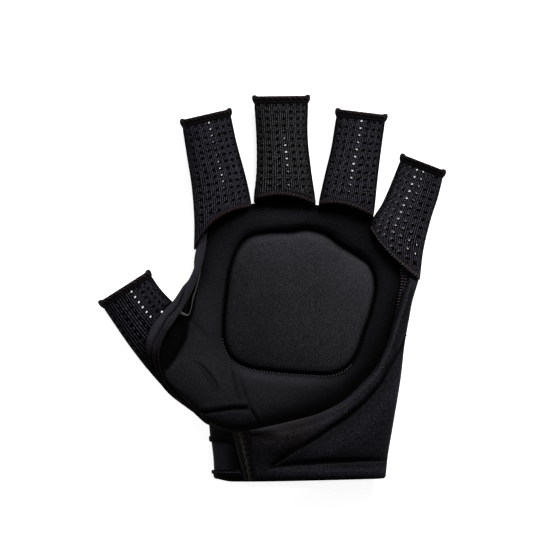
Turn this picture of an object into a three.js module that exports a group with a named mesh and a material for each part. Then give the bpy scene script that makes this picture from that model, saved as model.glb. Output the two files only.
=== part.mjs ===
// Field hockey glove for the left hand, lying palm up.
// Millimetres, +Z up. The fingers point to +Y and the thumb to -X.
// The origin is the middle of the outline, on the surface that the glove lies on.

import * as THREE from 'three';

// Driving dimensions
const gap = 0.3;                // clearance between neighbouring pieces
const stallWall = 1.6;          // perforated rib knit of the finger stalls
const bandWall = 2.6;           // doubled cloth of the wrist band
const elasticWall = 1.6;        // webbing set into the wrist band
const elasticInset = 0.5;       // how far it lies below the band's outside
const tapeThickness = 0.9;      // tape sewn over the wrist seam
const tipHemLength = 3.4;       // rolled overlock round each finger mouth
const baseHemLength = 2.2;      // overlock along the open palm
const recessFloor = 7;          // foam left under the centre cushion
const cushionSeam = 0.8;        // width of the sewn groove round the cushion
const stripThickness = 2.4;     // folded band over the thumb web
const overlockRadius = 1.15;    // thick seam beside the little finger

// Facets round and along each kind of piece
const stallFacets = { around: 22, along: 5 };
const hemFacets = 16;
const padFacets = 72;
const bandFacets = { open: 32, back: 20, levels: 6 };

// Materials
const knit = new THREE.MeshStandardMaterial({ color: 0x242428, roughness: 0.9, metalness: 0 });
const thread = new THREE.MeshStandardMaterial({ color: 0x19171a, roughness: 0.85, metalness: 0 });
const lining = new THREE.MeshStandardMaterial({ color: 0x2c2c31, roughness: 0.8, metalness: 0 });
const cloth = new THREE.MeshStandardMaterial({ color: 0x1e1d20, roughness: 0.8, metalness: 0 });
const webbing = new THREE.MeshStandardMaterial({ color: 0x232222, roughness: 0.9, metalness: 0 });

// Turns lists of numbers under named columns into rows with those names.
function table(columns, lines) {
  return lines.map((line) => Object.fromEntries(columns.map((name, i) => [name, line[i]])));
}

// The pad's outline in plan, one point for each bend, anticlockwise from under the index stall.
const padOutline = table(['x', 'y'], [
  [68.4, 7.4], [65.4, 14.2], [60.4, 20.0], [55.0, 25.6], [51.6, 30.6], [47.6, 35.4], [41.5, 39.2],
  [32.1, 41.0],
  [22.8, 41.4], [14.3, 42.8], [6.1, 43.2], [-2.0, 43.0], [-9.6, 42.2], [-16.3, 41.2], [-25.0, 37.8],
  [-33.2, 30.6], [-37.0, 22.0], [-38.6, 14.0], [-38.8, 8.0], [-40.6, 2.0], [-43.2, -4.5],
  [-45.0, -10.5], [-44.4, -16.0], [-44.4, -24.0], [-47.2, -31.0], [-51.0, -37.5], [-55.0, -42.6],
  [-53.8, -46.8], [-49.4, -51.2], [-45.0, -55.0], [-40.8, -59.0], [-36.4, -63.6], [-31.8, -67.4],
  [-27.6, -68.8], [-25.8, -73.0], [-24.4, -80.0], [-14.0, -81.0], [12.0, -81.2], [34.7, -80.8],
  [50.5, -80.0], [56.4, -74.5], [59.6, -58.0], [62.2, -40.0], [64.2, -25.0], [66.4, -12.0],
  [68.2, -3.0],
]);

// The centre cushion's outline, a rounded shield.
const cushionOutline = table(['x', 'y'], [
  [52.6, 1.5], [50.2, 11.0], [43.0, 16.8], [34.6, 22.0], [27.6, 27.2], [18.4, 29.8], [9.6, 28.8],
  [-3.0, 28.2], [-11.6, 26.2], [-17.2, 20.6], [-20.8, 11.4], [-23.0, -3.0], [-24.2, -16.0],
  [-24.0, -26.6], [-20.4, -35.0], [-12.0, -39.8], [2.0, -42.0], [18.0, -43.2], [30.6, -43.4],
  [38.0, -39.8], [42.8, -33.4], [46.6, -22.4], [50.4, -11.0],
]);

// How far the cupped shell lifts at its edge, by compass direction in degrees from +X.
const padRise = table(['direction', 'lift'], [
  [0, 4.5], [45, 4.5], [90, 2.5], [135, 3], [180, 1.5], [205, 2], [228, 1], [270, 0.5], [315, 5],
]);

// The shell's section from the cushion's seam (0) to the edge (1): top and underside.
const padSection = table(['share', 'top', 'under'], [
  [0.0, 9.6, 0], [0.08, 11.6, 0], [0.24, 13.2, 0], [0.45, 13.6, 0.2], [0.68, 12.8, 1.4],
  [0.88, 11.0, 3.4], [1.0, 9.2, 5.2],
]);

// The cushion's section from its middle (0) to its seam (1).
const cushionSection = table(['share', 'top'], [
  [0.45, 13.8], [0.8, 13.4], [0.94, 12.2], [1.0, 10.4],
]);

// Finger stalls: the two sides of the flat tube in plan, with its mid height and full height.
// The hem runs between the two crotches, arched by rise. The back wall runs on to seat it on the pad.
const stallColumns = ['leftX', 'leftY', 'rightX', 'rightY', 'midZ', 'height'];
const stalls = {
  index: {
    rows: table(stallColumns, [
      [-46.3, 86.2, -21.8, 91.8, 8.6, 13], [-43.6, 69.0, -18.3, 75.0, 9.2, 13.4],
      [-40.9, 51.6, -13.4, 56.6, 10.6, 14.6], [-39.6, 34.0, -10.6, 42.4, 12.4, 16],
      [-39.9, 17.0, -9.6, 29.0, 13.2, 16.6],
    ]),
    hem: { left: [-39.8, 19.4], right: [-9.9, 41.6], rise: 5.6, lean: 0 },
    seat: { left: [-39.8, 19.4], right: [-9.9, 41.6] },
  },
  middle: {
    rows: table(stallColumns, [
      [-9.2, 98.3, 18.5, 98.6, 8.6, 13], [-7.9, 78.0, 18.2, 78.0, 9.2, 13.4],
      [-7.8, 61.0, 19.9, 61.0, 10.6, 14.6], [-9.2, 45.6, 22.1, 45.2, 12.6, 16],
      [-9.4, 36.0, 22.6, 36.0, 13.4, 16.6],
    ]),
    hem: { left: [-9.3, 45.0], right: [22.5, 42.3], rise: 3.7, lean: 0 },
    seat: { left: [-9.3, 43.4], right: [22.5, 42.3] },
  },
  ring: {
    rows: table(stallColumns, [
      [33.6, 91.8, 58.3, 88.8, 8.6, 13], [30.7, 73.0, 55.8, 71.0, 9.2, 13.4],
      [27.5, 59.4, 54.0, 56.4, 10.6, 14.6], [24.4, 45.6, 52.4, 41.2, 12.6, 16],
      [23.2, 37.0, 51.0, 31.9, 13.4, 16.6],
    ]),
    hem: { left: [23.2, 42.3], right: [52.4, 36.0], rise: 3.2, lean: -0.2 },
    seat: { left: [23.2, 42.3], right: [52.4, 36.0] },
  },
  little: {
    rows: table(stallColumns, [
      [67.0, 68.5, 88.3, 60.3, 8.6, 13], [62.0, 55.6, 84.8, 46.4, 9.0, 13.4],
      [56.6, 43.4, 81.2, 35.4, 10.2, 14.2], [51.0, 34.2, 77.4, 19.8, 12.0, 15.4],
      [49.6, 24.0, 75.4, 3.0, 13.4, 16.4],
    ]),
    hem: { left: [50.2, 31.6], right: [75.2, 4.2], rise: -2.2, lean: -0.4 },
    seat: { left: [50.2, 31.6], right: [75.0, 5.0] },
  },
  thumb: {
    rows: table(stallColumns, [
      [-88.3, -6.8, -63.6, 8.9, 8.4, 13], [-81.0, -17.6, -57.4, -0.2, 8.8, 13.4],
      [-72.4, -30.0, -50.6, -7.4, 9.6, 14.2], [-62.8, -42.4, -42.8, -15.4, 10.2, 15],
      [-56.8, -49.4, -37.0, -22.6, 10.2, 15],
    ]),
    hem: { left: [-62.8, -42.0], right: [-50.6, -6.4], rise: 6.7, lean: 0 },
    seat: { left: [-55.4, -47.6], right: [-40.0, -13.4] },
  },
};
const stallRoundness = 2.4;     // exponent of the stall's section, 2 is an ellipse
const palmWallFrom = 14.5;      // a wall above this height passes over the pad's edge

// Wrist band: its section at each level, from the mouth towards the fingers.
const bandRows = table(['y', 'leftX', 'rightX', 'low', 'high'], [
  [-98.5, -29.6, 58.0, 0, 24], [-93.0, -30.3, 58.6, 0, 24], [-86.0, -30.6, 59.3, 0, 24],
  [-78.0, -31.4, 60.6, 0, 24], [-70.0, -32.2, 62.0, 0, 24], [-47.0, -34.0, 65.8, 0, 24.4],
  [-29.0, -34.0, 67.9, 0, 24.2], [-14.5, -34.0, 70.4, 0.8, 24.2], [-7.0, -34.0, 71.8, 1.6, 24],
  [4.0, -34.0, 75.0, 3, 23],
]);
const bandRoundness = 2.8;
const bandFlat = 1.4;           // how far the band sags onto the surface it lies on
const bandSeat = -81.8;         // level where the closed loop ends and the pad takes over as its back
const bandTopRight = 3.6;       // the fold runs up beside the pad to the little stall
const bandSides = { right: -14, left: 188 };   // degrees that the open part covers

// The curved front edge of the band, across the palm.
const bandEdge = table(['x', 'y'], [
  [-36.0, -68.2], [-31.6, -69.2], [-27.5, -71.0], [-19.4, -72.4], [-11.2, -71.9], [1.5, -69.4],
  [19.9, -65.0], [28.8, -61.7], [38.0, -56.6], [46.9, -48.5], [54.3, -40.3], [59.7, -29.3],
  [63.0, -17.6], [64.8, -12.0], [67.8, -4.6], [70.9, 4.8],
]);

// A padded wedge lies between the band's diagonal seam and its level seam.
const wedge = { seamStart: [65.0, -28.0], seamEnd: [1.5, -90.0], level: -88.0, height: 1.5, soft: 7 };

// Webbing let into the band beside the wrist seam, with a binding above and below it.
const elastic = { top: -78.0, bottom: -92.8, rightX: -17.0, backDegrees: 205 };
const bindings = [
  { name: 'elastic_top_binding', top: -75.6, bottom: -77.8, rightX: -20.0 },
  { name: 'elastic_bottom_binding', top: -93.0, bottom: -94.8, rightX: -17.0 },
];
const bindingThickness = 1.2;
const seamTape = table(['y', 'leftX', 'rightX'], [
  [-73.4, -19.9, -13.6], [-86.0, -17.2, -11.2], [-98.0, -14.8, -9.0],
]);

// Folded band over the thumb web, then along the heel of the thumb: its two edges and its height.
const stripRows = table(['outerX', 'outerY', 'innerX', 'innerY', 'z'], [
  [-38.0, 21.0, -34.8, 20.0, 15.0], [-39.7, 14.0, -36.6, 13.2, 15.6], [-40.6, 9.6, -37.2, 8.4, 15.8],
  [-42.9, 5.0, -39.2, 3.4, 15.4], [-45.6, 1.0, -41.2, -2.0, 15.0], [-50.2, -5.9, -44.3, -8.2, 14.8],
  [-54.6, -10.5, -48.2, -14.3, 15.4], [-58.6, -15.4, -51.8, -19.6, 16.4],
  [-61.6, -19.9, -54.3, -23.4, 17.0], [-64.0, -26.3, -56.1, -27.6, 17.2],
  [-64.2, -32.0, -57.3, -32.2, 16.8], [-62.8, -38.6, -57.6, -37.6, 15.0],
  [-59.8, -44.6, -56.6, -42.4, 12.4], [-56.0, -50.4, -54.0, -47.6, 9.6],
  [-51.6, -55.2, -49.6, -51.6, 7.8], [-46.2, -59.4, -45.2, -55.4, 6.8],
  [-40.4, -63.6, -41.0, -59.6, 6.4], [-36.0, -66.8, -36.8, -64.2, 6.2],
  [-32.6, -69.0, -33.6, -67.0, 6.2],
]);

// The thick seam beside the little finger.
const overlockPath = table(['x', 'y'], [
  [66.9, 9.2], [66.7, 4.0], [66.1, -0.5], [65.0, -4.5], [63.4, -8.4],
]);

// Smooth curve through the values of one column, read at a place counted in rows.
function columnAt(rows, name, place) {
  const last = rows.length - 1;
  const k = Math.min(Math.max(Math.floor(place), 0), last - 1);
  const f = place - k;
  const value = (i) => {
    if (i < 0) return 2 * rows[0][name] - rows[1][name];
    if (i > last) return 2 * rows[last][name] - rows[last - 1][name];
    return rows[i][name];
  };
  const [a, b, c, d] = [value(k - 1), value(k), value(k + 1), value(k + 2)];
  if (f < 0) return b + f * (c - b);
  if (f > 1) return c + (f - 1) * (c - b);
  return b + 0.5 * f * (c - a + f * (2 * a - 5 * b + 4 * c - d + f * (3 * (b - c) + d - a)));
}

// The place, counted in rows, where a rising or falling column has the given value.
function placeOf(rows, name, value) {
  const rising = rows[rows.length - 1][name] > rows[0][name];
  let [low, high] = [-1, rows.length];
  for (let i = 0; i < 40; i += 1) {
    const mid = (low + high) / 2;
    if ((columnAt(rows, name, mid) < value) === rising) low = mid;
    else high = mid;
  }
  return (low + high) / 2;
}

// Superellipse section: half width and half height read at an angle from the right side.
function sectionAt(angle, halfWidth, halfHeight, roundness) {
  const [c, s] = [Math.cos(angle), Math.sin(angle)];
  const power = 2 / roundness;
  return [
    halfWidth * Math.sign(c) * Math.abs(c) ** power,
    halfHeight * Math.sign(s) * Math.abs(s) ** power,
  ];
}

// A closed outline as a radius round the cushion's middle.
const middle = { x: 14.3, y: -6.9 };
function outlineRadius(outline) {
  const curve = new THREE.CatmullRomCurve3(
    outline.map((p) => new THREE.Vector3(p.x, p.y, 0)), true, 'centripetal',
  );
  const samples = curve.getPoints(outline.length * 8).map((p) => ({
    angle: Math.atan2(p.y - middle.y, p.x - middle.x),
    radius: Math.hypot(p.x - middle.x, p.y - middle.y),
  }));
  samples.sort((a, b) => a.angle - b.angle);
  const first = samples[0];
  const last = samples[samples.length - 1];
  const ring = [
    { angle: last.angle - 2 * Math.PI, radius: last.radius }, ...samples,
    { angle: first.angle + 2 * Math.PI, radius: first.radius },
  ];
  return (angle) => {
    const a = Math.atan2(Math.sin(angle), Math.cos(angle));
    const k = ring.findIndex((s, i) => i > 0 && s.angle >= a);
    const [p, q] = [ring[k - 1], ring[k]];
    const f = (a - p.angle) / (q.angle - p.angle || 1);
    return p.radius + f * (q.radius - p.radius);
  };
}
const padRadius = outlineRadius(padOutline);
const cushionRadius = outlineRadius(cushionOutline);

function insidePad([x, y]) {
  const angle = Math.atan2(y - middle.y, x - middle.x);
  return Math.hypot(x - middle.x, y - middle.y) < padRadius(angle) + gap;
}

// The solid between an outer and an inner grid of points, over the cells that are kept.
function shell(outer, inner, wraps, keep = () => true) {
  const [columns, rows] = [outer.length, outer[0].length];
  const cells = wraps ? columns : columns - 1;
  const index = (i, j, layer) => ((i % columns) * rows + j) * 2 + layer;
  const kept = (i, j) => {
    if (j < 0 || j > rows - 2) return false;
    if (!wraps && (i < 0 || i > cells - 1)) return false;
    return keep((i + cells) % cells, j);
  };
  const positions = [];
  outer.forEach((line, i) => line.forEach((point, j) => positions.push(...point, ...inner[i][j])));
  const faces = [];
  const quad = (a, b, c, d) => faces.push(a, b, c, a, c, d);
  for (let i = 0; i < cells; i += 1) {
    for (let j = 0; j < rows - 1; j += 1) {
      if (!kept(i, j)) continue;
      quad(index(i, j, 0), index(i + 1, j, 0), index(i + 1, j + 1, 0), index(i, j + 1, 0));
      quad(index(i, j, 1), index(i, j + 1, 1), index(i + 1, j + 1, 1), index(i + 1, j, 1));
      if (!kept(i, j - 1)) quad(index(i, j, 1), index(i + 1, j, 1), index(i + 1, j, 0), index(i, j, 0));
      if (!kept(i, j + 1)) {
        quad(index(i, j + 1, 0), index(i + 1, j + 1, 0), index(i + 1, j + 1, 1), index(i, j + 1, 1));
      }
      if (!kept(i - 1, j)) quad(index(i, j, 0), index(i, j + 1, 0), index(i, j + 1, 1), index(i, j, 1));
      if (!kept(i + 1, j)) {
        quad(index(i + 1, j, 1), index(i + 1, j + 1, 1), index(i + 1, j + 1, 0), index(i + 1, j, 0));
      }
    }
  }
  return { positions, faces };
}

// The solid swept by closed sections, one after another, capped at its ends or joined to a ring.
function sweep(sections, closed) {
  const sides = sections[0].length;
  const positions = sections.flat(2);
  const faces = [];
  const steps = closed ? sections.length : sections.length - 1;
  for (let i = 0; i < steps; i += 1) {
    const next = (i + 1) % sections.length;
    for (let k = 0; k < sides; k += 1) {
      const m = (k + 1) % sides;
      faces.push(i * sides + k, i * sides + m, next * sides + m);
      faces.push(i * sides + k, next * sides + m, next * sides + k);
    }
  }
  if (!closed) {
    const end = (sections.length - 1) * sides;
    for (let k = 1; k < sides - 1; k += 1) {
      faces.push(0, k + 1, k);
      faces.push(end, end + k, end + k + 1);
    }
  }
  return { positions, faces };
}

// A named mesh from a solid, with its faces turned outwards and loose points dropped.
function mesh(name, material, { positions, faces }) {
  const point = (k) => new THREE.Vector3().fromArray(positions, 3 * k);
  let volume = 0;
  for (let k = 0; k < faces.length; k += 3) {
    volume += point(faces[k]).dot(point(faces[k + 1]).cross(point(faces[k + 2])));
  }
  const turned = volume > 0 ? faces : faces.slice().reverse();
  const renumbered = new Map();
  const kept = [];
  const order = turned.map((k) => {
    if (!renumbered.has(k)) {
      renumbered.set(k, kept.length / 3);
      kept.push(...positions.slice(3 * k, 3 * k + 3));
    }
    return renumbered.get(k);
  });
  const geometry = new THREE.BufferGeometry();
  geometry.setAttribute('position', new THREE.Float32BufferAttribute(kept, 3));
  geometry.setIndex(order);
  geometry.computeVertexNormals();
  const made = new THREE.Mesh(geometry, material);
  made.name = name;
  return made;
}

// Shell of the hand's back. Its top and underside are read along each spoke from the middle.
function liftAt(angle) {
  const turn = ((THREE.MathUtils.radToDeg(angle) % 360) + 360) % 360;
  const ring = [...padRise, { direction: 360, lift: padRise[0].lift }];
  const k = ring.findIndex((row) => row.direction > turn);
  const [from, to] = [ring[k - 1], ring[k]];
  const f = (turn - from.direction) / (to.direction - from.direction);
  return from.lift + f * f * (3 - 2 * f) * (to.lift - from.lift);
}

function spoke(angle, share) {
  const inside = cushionRadius(angle) + cushionSeam;
  const radius = inside + share * (padRadius(angle) - inside);
  return [middle.x + radius * Math.cos(angle), middle.y + radius * Math.sin(angle)];
}

function padTop(angle, share) {
  const k = Math.max(1, padSection.findIndex((row) => row.share >= share));
  const [from, to] = [padSection[k - 1], padSection[k]];
  const f = (share - from.share) / (to.share - from.share);
  return from.top + f * (to.top - from.top) + liftAt(angle) * share * share;
}

// The closed solid whose section goes round the middle, from a point below to a point above.
function roundSolid(section, pointAt, below, above) {
  const positions = [middle.x, middle.y, below, middle.x, middle.y, above];
  const faces = [];
  const last = section.length - 1;
  const at = (i, j) => 2 + (i % padFacets) * section.length + j;
  for (let i = 0; i < padFacets; i += 1) {
    const angle = (2 * Math.PI * i) / padFacets;
    section.forEach((row) => positions.push(...pointAt(angle, row)));
    faces.push(0, at(i + 1, 0), at(i, 0));
    faces.push(1, at(i, last), at(i + 1, last));
    for (let j = 0; j < last; j += 1) {
      faces.push(at(i, j), at(i + 1, j), at(i + 1, j + 1));
      faces.push(at(i, j), at(i + 1, j + 1), at(i, j + 1));
    }
  }
  return { positions, faces };
}

function backPad() {
  const under = padSection.map(({ share, under: z }) => ({ share, z }));
  const top = padSection.map(({ share, top: z }) => ({ share, z })).reverse();
  const section = [...under, ...top, { share: 0, z: recessFloor }];
  const pointAt = (angle, { share, z }) => (
    [...spoke(angle, share), z + liftAt(angle) * share * share]
  );
  return mesh('back_pad', lining, roundSolid(section, pointAt, 0, recessFloor));
}

// The cushion sewn into the middle of the pad.
function centreCushion() {
  const low = recessFloor + gap;
  const section = [{ share: 1, top: low }, ...cushionSection.slice().reverse()];
  const pointAt = (angle, { share, top }) => {
    const radius = share * cushionRadius(angle);
    return [middle.x + radius * Math.cos(angle), middle.y + radius * Math.sin(angle), top];
  };
  return mesh('centre_cushion', lining, roundSolid(section, pointAt, low, cushionSection[0].top));
}

// A point of a stall: place counts rows from the tip, inset goes into the wall from outside.
function stallPoint(stall, place, angle, inset) {
  const read = (name) => columnAt(stall.rows, name, place);
  const [leftX, leftY, rightX, rightY] = ['leftX', 'leftY', 'rightX', 'rightY'].map(read);
  const width = Math.hypot(rightX - leftX, rightY - leftY);
  const [u, v] = sectionAt(angle, width / 2 - inset, read('height') / 2 - inset, stallRoundness);
  return [
    (leftX + rightX) / 2 + ((rightX - leftX) / width) * u,
    (leftY + rightY) / 2 + ((rightY - leftY) / width) * u,
    read('midZ') + v,
  ];
}

// Signed distance of a plan point from a line between two points, and its share along it.
function fromLine([x, y], [ax, ay], [bx, by]) {
  const length = Math.hypot(bx - ax, by - ay);
  const [dx, dy] = [(bx - ax) / length, (by - ay) / length];
  return {
    share: ((x - ax) * dx + (y - ay) * dy) / length,
    offset: (y - ay) * dx - (x - ax) * dy,
  };
}

function pastHem(stall, point) {
  const { left, right, rise, lean } = stall.hem;
  const { share, offset } = fromLine(point, left, right);
  const s = Math.min(Math.max(share, 0), 1);
  return offset < rise * 4 * s * (1 - s) * (1 + lean * (2 * s - 1));
}

function pastSeat(stall, point) {
  return fromLine(point, stall.seat.left, stall.seat.right).offset < 0;
}

// The place where a wall of the stall ends: at the hem on the palm side, at the pad on the back.
function stallEnd(stall, angle) {
  const past = Math.sin(angle) >= 0 ? pastHem : pastSeat;
  let [low, high] = [0, stall.rows.length + 1];
  for (let i = 0; i < 40; i += 1) {
    const mid = (low + high) / 2;
    const outside = stallPoint(stall, mid, angle, 0);
    const inside = stallPoint(stall, mid, angle, stallWall);
    const meetsPad = outside[2] < palmWallFrom && (insidePad(outside) || insidePad(inside));
    if (past(stall, outside) || meetsPad) high = mid;
    else low = mid;
  }
  return low;
}

// Length in millimetres of one row step near a place, along the middle of the stall.
function rowLength(stall, place) {
  const [a, b] = [stallPoint(stall, place, 0, 0), stallPoint(stall, place + 0.1, 0, 0)];
  const [c, d] = [stallPoint(stall, place, Math.PI, 0), stallPoint(stall, place + 0.1, Math.PI, 0)];
  return 10 * Math.hypot((b[0] - a[0] + d[0] - c[0]) / 2, (b[1] - a[1] + d[1] - c[1]) / 2);
}

const hemStart = (2 * Math.PI) / stallFacets.around;      // the base hem leaves the sides free
function onHem(angle) {
  return angle > hemStart / 2 && angle < Math.PI - hemStart / 2;
}

function fingerStall(name, stall) {
  const { around, along } = stallFacets;
  const start = (tipHemLength + gap) / rowLength(stall, 0);
  const grid = (inset) => Array.from({ length: around }, (unused, i) => {
    const angle = (2 * Math.PI * i) / around;
    const trim = onHem(angle) ? baseHemLength + gap : gap;
    const full = stallEnd(stall, angle);
    const end = full - trim / rowLength(stall, full);
    return Array.from({ length: along + 1 }, (none, j) => {
      const place = start + (end - start) * (j / along);
      return stallPoint(stall, place, angle, inset);
    });
  });
  return mesh(`${name}_stall`, knit, shell(grid(0), grid(stallWall), true));
}

// The rolled hem is a little prouder than the knit that it closes.
const hemRoll = table(['along', 'inset'], [
  [0.0, 0.2], [0.25, -0.5], [0.75, -0.5], [1.0, 0.1], [1.0, 1.5], [0.75, 2.1], [0.25, 2.1],
  [0.0, 1.4],
]);

function tipHem(name, stall) {
  const length = tipHemLength / rowLength(stall, 0);
  const sections = Array.from({ length: stallFacets.around }, (unused, i) => {
    const angle = (2 * Math.PI * i) / stallFacets.around;
    return hemRoll.map((row) => stallPoint(stall, row.along * length, angle, row.inset));
  });
  return mesh(`${name}_tip_hem`, thread, sweep(sections, true));
}

function baseHem(name, stall) {
  const sections = Array.from({ length: hemFacets + 1 }, (unused, i) => {
    const angle = hemStart + ((Math.PI - 2 * hemStart) * i) / hemFacets;
    const end = stallEnd(stall, angle);
    const length = baseHemLength / rowLength(stall, end);
    return hemRoll.filter((row) => row.along < 1 || row.inset < 1).map((row) => (
      stallPoint(stall, end - row.along * length, angle, row.inset * 0.9 + 0.1)
    ));
  });
  return mesh(`${name}_base_hem`, thread, sweep(sections, false));
}

// Wrist band
function wedgeHeight(x, y) {
  const { offset } = fromLine([x, y], wedge.seamEnd, wedge.seamStart);
  const under = Math.min(Math.max(-offset / wedge.soft, 0), 1);
  const above = Math.min(Math.max((y - wedge.level) / wedge.soft, 0), 1);
  return wedge.height * Math.sin((Math.PI / 2) * under) * Math.sin((Math.PI / 2) * above);
}

function bandPoint(y, angle, inset) {
  const place = placeOf(bandRows, 'y', y);
  const read = (name) => columnAt(bandRows, name, place);
  const halfWidth = (read('rightX') - read('leftX')) / 2;
  const low = read('low') - bandFlat;
  const halfHeight = (read('high') - low) / 2;
  const [u, v] = sectionAt(angle, halfWidth - inset, halfHeight - inset, bandRoundness);
  const x = (read('rightX') + read('leftX')) / 2 + u;
  const puff = Math.sin(angle) > 0 ? wedgeHeight(x, y) * Math.sin(angle) : 0;
  return [x, y, Math.max(low + bandFlat + inset, low + halfHeight + v + puff)];
}

// The level where the open part of the band ends, at an angle round it.
function bandTop(angle) {
  let [low, high] = [bandSeat, bandTopRight];
  for (let i = 0; i < 30; i += 1) {
    const mid = (low + high) / 2;
    const [x] = bandPoint(mid, angle, 0);
    const edge = columnAt(bandEdge, 'y', placeOf(bandEdge, 'x', x));
    if (mid > edge) high = mid;
    else low = mid;
  }
  return low;
}

// Angles round the band: even steps over the open part, then even steps over the back.
const bandAngles = (() => {
  const { open, back } = bandFacets;
  const [from, to] = [bandSides.right, bandSides.left];
  return [
    ...Array.from({ length: open }, (unused, i) => from + ((to - from) * i) / open),
    ...Array.from({ length: back }, (unused, i) => to + ((360 + from - to) * i) / back),
  ].map((degrees) => THREE.MathUtils.degToRad(degrees));
})();

// The angle on the palm side where the band passes over a given x at a level.
function bandAngleAt(x, y) {
  let [low, high] = [0, Math.PI];
  for (let i = 0; i < 40; i += 1) {
    const mid = (low + high) / 2;
    if (bandPoint(y, mid, 0)[0] > x) low = mid;
    else high = mid;
  }
  return (low + high) / 2;
}

const bandMouth = bandRows[0].y;
const bandLevels = [bandMouth, bandMouth + 2.8, elastic.bottom - gap, wedge.level, bandSeat];

function bandGrid(inset) {
  return bandAngles.map((angle, i) => {
    const start = elastic.top + gap;
    const top = i <= bandFacets.open ? bandTop(angle) : start + 1;
    const steps = bandFacets.levels - 1;
    const upper = Array.from({ length: bandFacets.levels }, (unused, j) => (
      start + ((top - start) * j) / steps
    ));
    return [...bandLevels, ...upper].map((y) => bandPoint(y, angle, inset));
  });
}

// The window that the webbing fills, between two of the band's own angles.
const bandWindow = (() => {
  const from = bandAngleAt(elastic.rightX, (elastic.top + elastic.bottom) / 2);
  const to = THREE.MathUtils.degToRad(elastic.backDegrees);
  const inside = bandAngles.filter((angle) => angle >= from && angle <= to);
  return { from: inside[0], to: inside[inside.length - 1] };
})();

function wristBand() {
  const [windowFrom, windowTo] = [2, bandLevels.length];
  const keep = (i, j) => {
    const [from, to] = [bandAngles[i], bandAngles[(i + 1) % bandAngles.length]];
    const closed = j < bandLevels.length - 1;
    if (!closed && i >= bandFacets.open) return false;
    const inWindow = from >= bandWindow.from && to <= bandWindow.to && to > from;
    return !(inWindow && j >= windowFrom && j < windowTo);
  };
  return mesh('wrist_band', cloth, shell(bandGrid(0), bandGrid(bandWall), true, keep));
}

// A patch that follows the band's surface between two levels.
function bandPatch(name, material, levels, angles, outside, thickness) {
  const grid = (inset) => angles.map((share) => levels.map(({ y, from, to }) => (
    bandPoint(y, from + (to - from) * share, inset)
  )));
  return mesh(name, material, shell(grid(outside), grid(outside + thickness), false));
}

function evenly(count) {
  return Array.from({ length: count + 1 }, (unused, i) => i / count);
}

function wristTrim() {
  const back = THREE.MathUtils.degToRad(elastic.backDegrees);
  const tape = seamTape.map((row) => ({
    y: row.y, from: bandAngleAt(row.rightX, row.y), to: bandAngleAt(row.leftX, row.y),
  }));
  const webbed = [elastic.bottom, -88, -83, elastic.top].map((y) => ({
    y, from: bandWindow.from + 0.03, to: bandWindow.to - 0.03,
  }));
  const made = [
    bandPatch('wrist_seam_tape', thread, tape, evenly(3), -gap - tapeThickness, tapeThickness),
    bandPatch('wrist_elastic', webbing, webbed, evenly(10), elasticInset, elasticWall),
  ];
  bindings.forEach((binding) => {
    const levels = [binding.bottom, (binding.bottom + binding.top) / 2, binding.top].map((y) => ({
      y, from: bandAngleAt(binding.rightX, y), to: back - 0.08,
    }));
    const raised = -gap - bindingThickness;
    made.push(bandPatch(binding.name, thread, levels, evenly(8), raised, bindingThickness));
  });
  return made;
}

// Folded strip over the thumb web.
function webStrip() {
  const steps = 2 * (stripRows.length - 1);
  const half = stripThickness / 2;
  const sections = Array.from({ length: steps + 1 }, (unused, i) => {
    const place = i / 2;
    const read = (name) => columnAt(stripRows, name, place);
    const [ox, oy, ix, iy, z] = ['outerX', 'outerY', 'innerX', 'innerY', 'z'].map(read);
    const across = (f, height) => [ox + (ix - ox) * f, oy + (iy - oy) * f, z + height];
    return [
      across(0, -0.5 * half), across(0.12, -half), across(0.88, -half), across(1, -0.5 * half),
      across(1, 0.5 * half), across(0.8, half), across(0.2, half), across(0, 0.5 * half),
    ];
  });
  return mesh('thumb_web_strip', cloth, sweep(sections, false));
}

function edgeOverlock() {
  const sides = 6;
  const steps = 2 * (overlockPath.length - 1);
  const sections = Array.from({ length: steps + 1 }, (unused, i) => {
    const [x, y] = ['x', 'y'].map((name) => columnAt(overlockPath, name, i / 2));
    const angle = Math.atan2(y - middle.y, x - middle.x);
    const inside = cushionRadius(angle) + cushionSeam;
    const share = (Math.hypot(x - middle.x, y - middle.y) - inside) / (padRadius(angle) - inside);
    const z = padTop(angle, Math.min(share, 1)) + overlockRadius + gap;
    return Array.from({ length: sides }, (none, k) => {
      const turn = (2 * Math.PI * (k + 0.5)) / sides;
      return [x + overlockRadius * Math.cos(turn), y, z + overlockRadius * Math.sin(turn)];
    });
  });
  return mesh('side_overlock', thread, sweep(sections, false));
}

const glove = new THREE.Group();
glove.add(backPad(), centreCushion(), wristBand(), ...wristTrim(), webStrip(), edgeOverlock());
Object.entries(stalls).forEach(([name, stall]) => {
  glove.add(fingerStall(name, stall), tipHem(name, stall));
  if (name !== 'thumb') glove.add(baseHem(name, stall));
});

export default glove;
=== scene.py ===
import math

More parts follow.
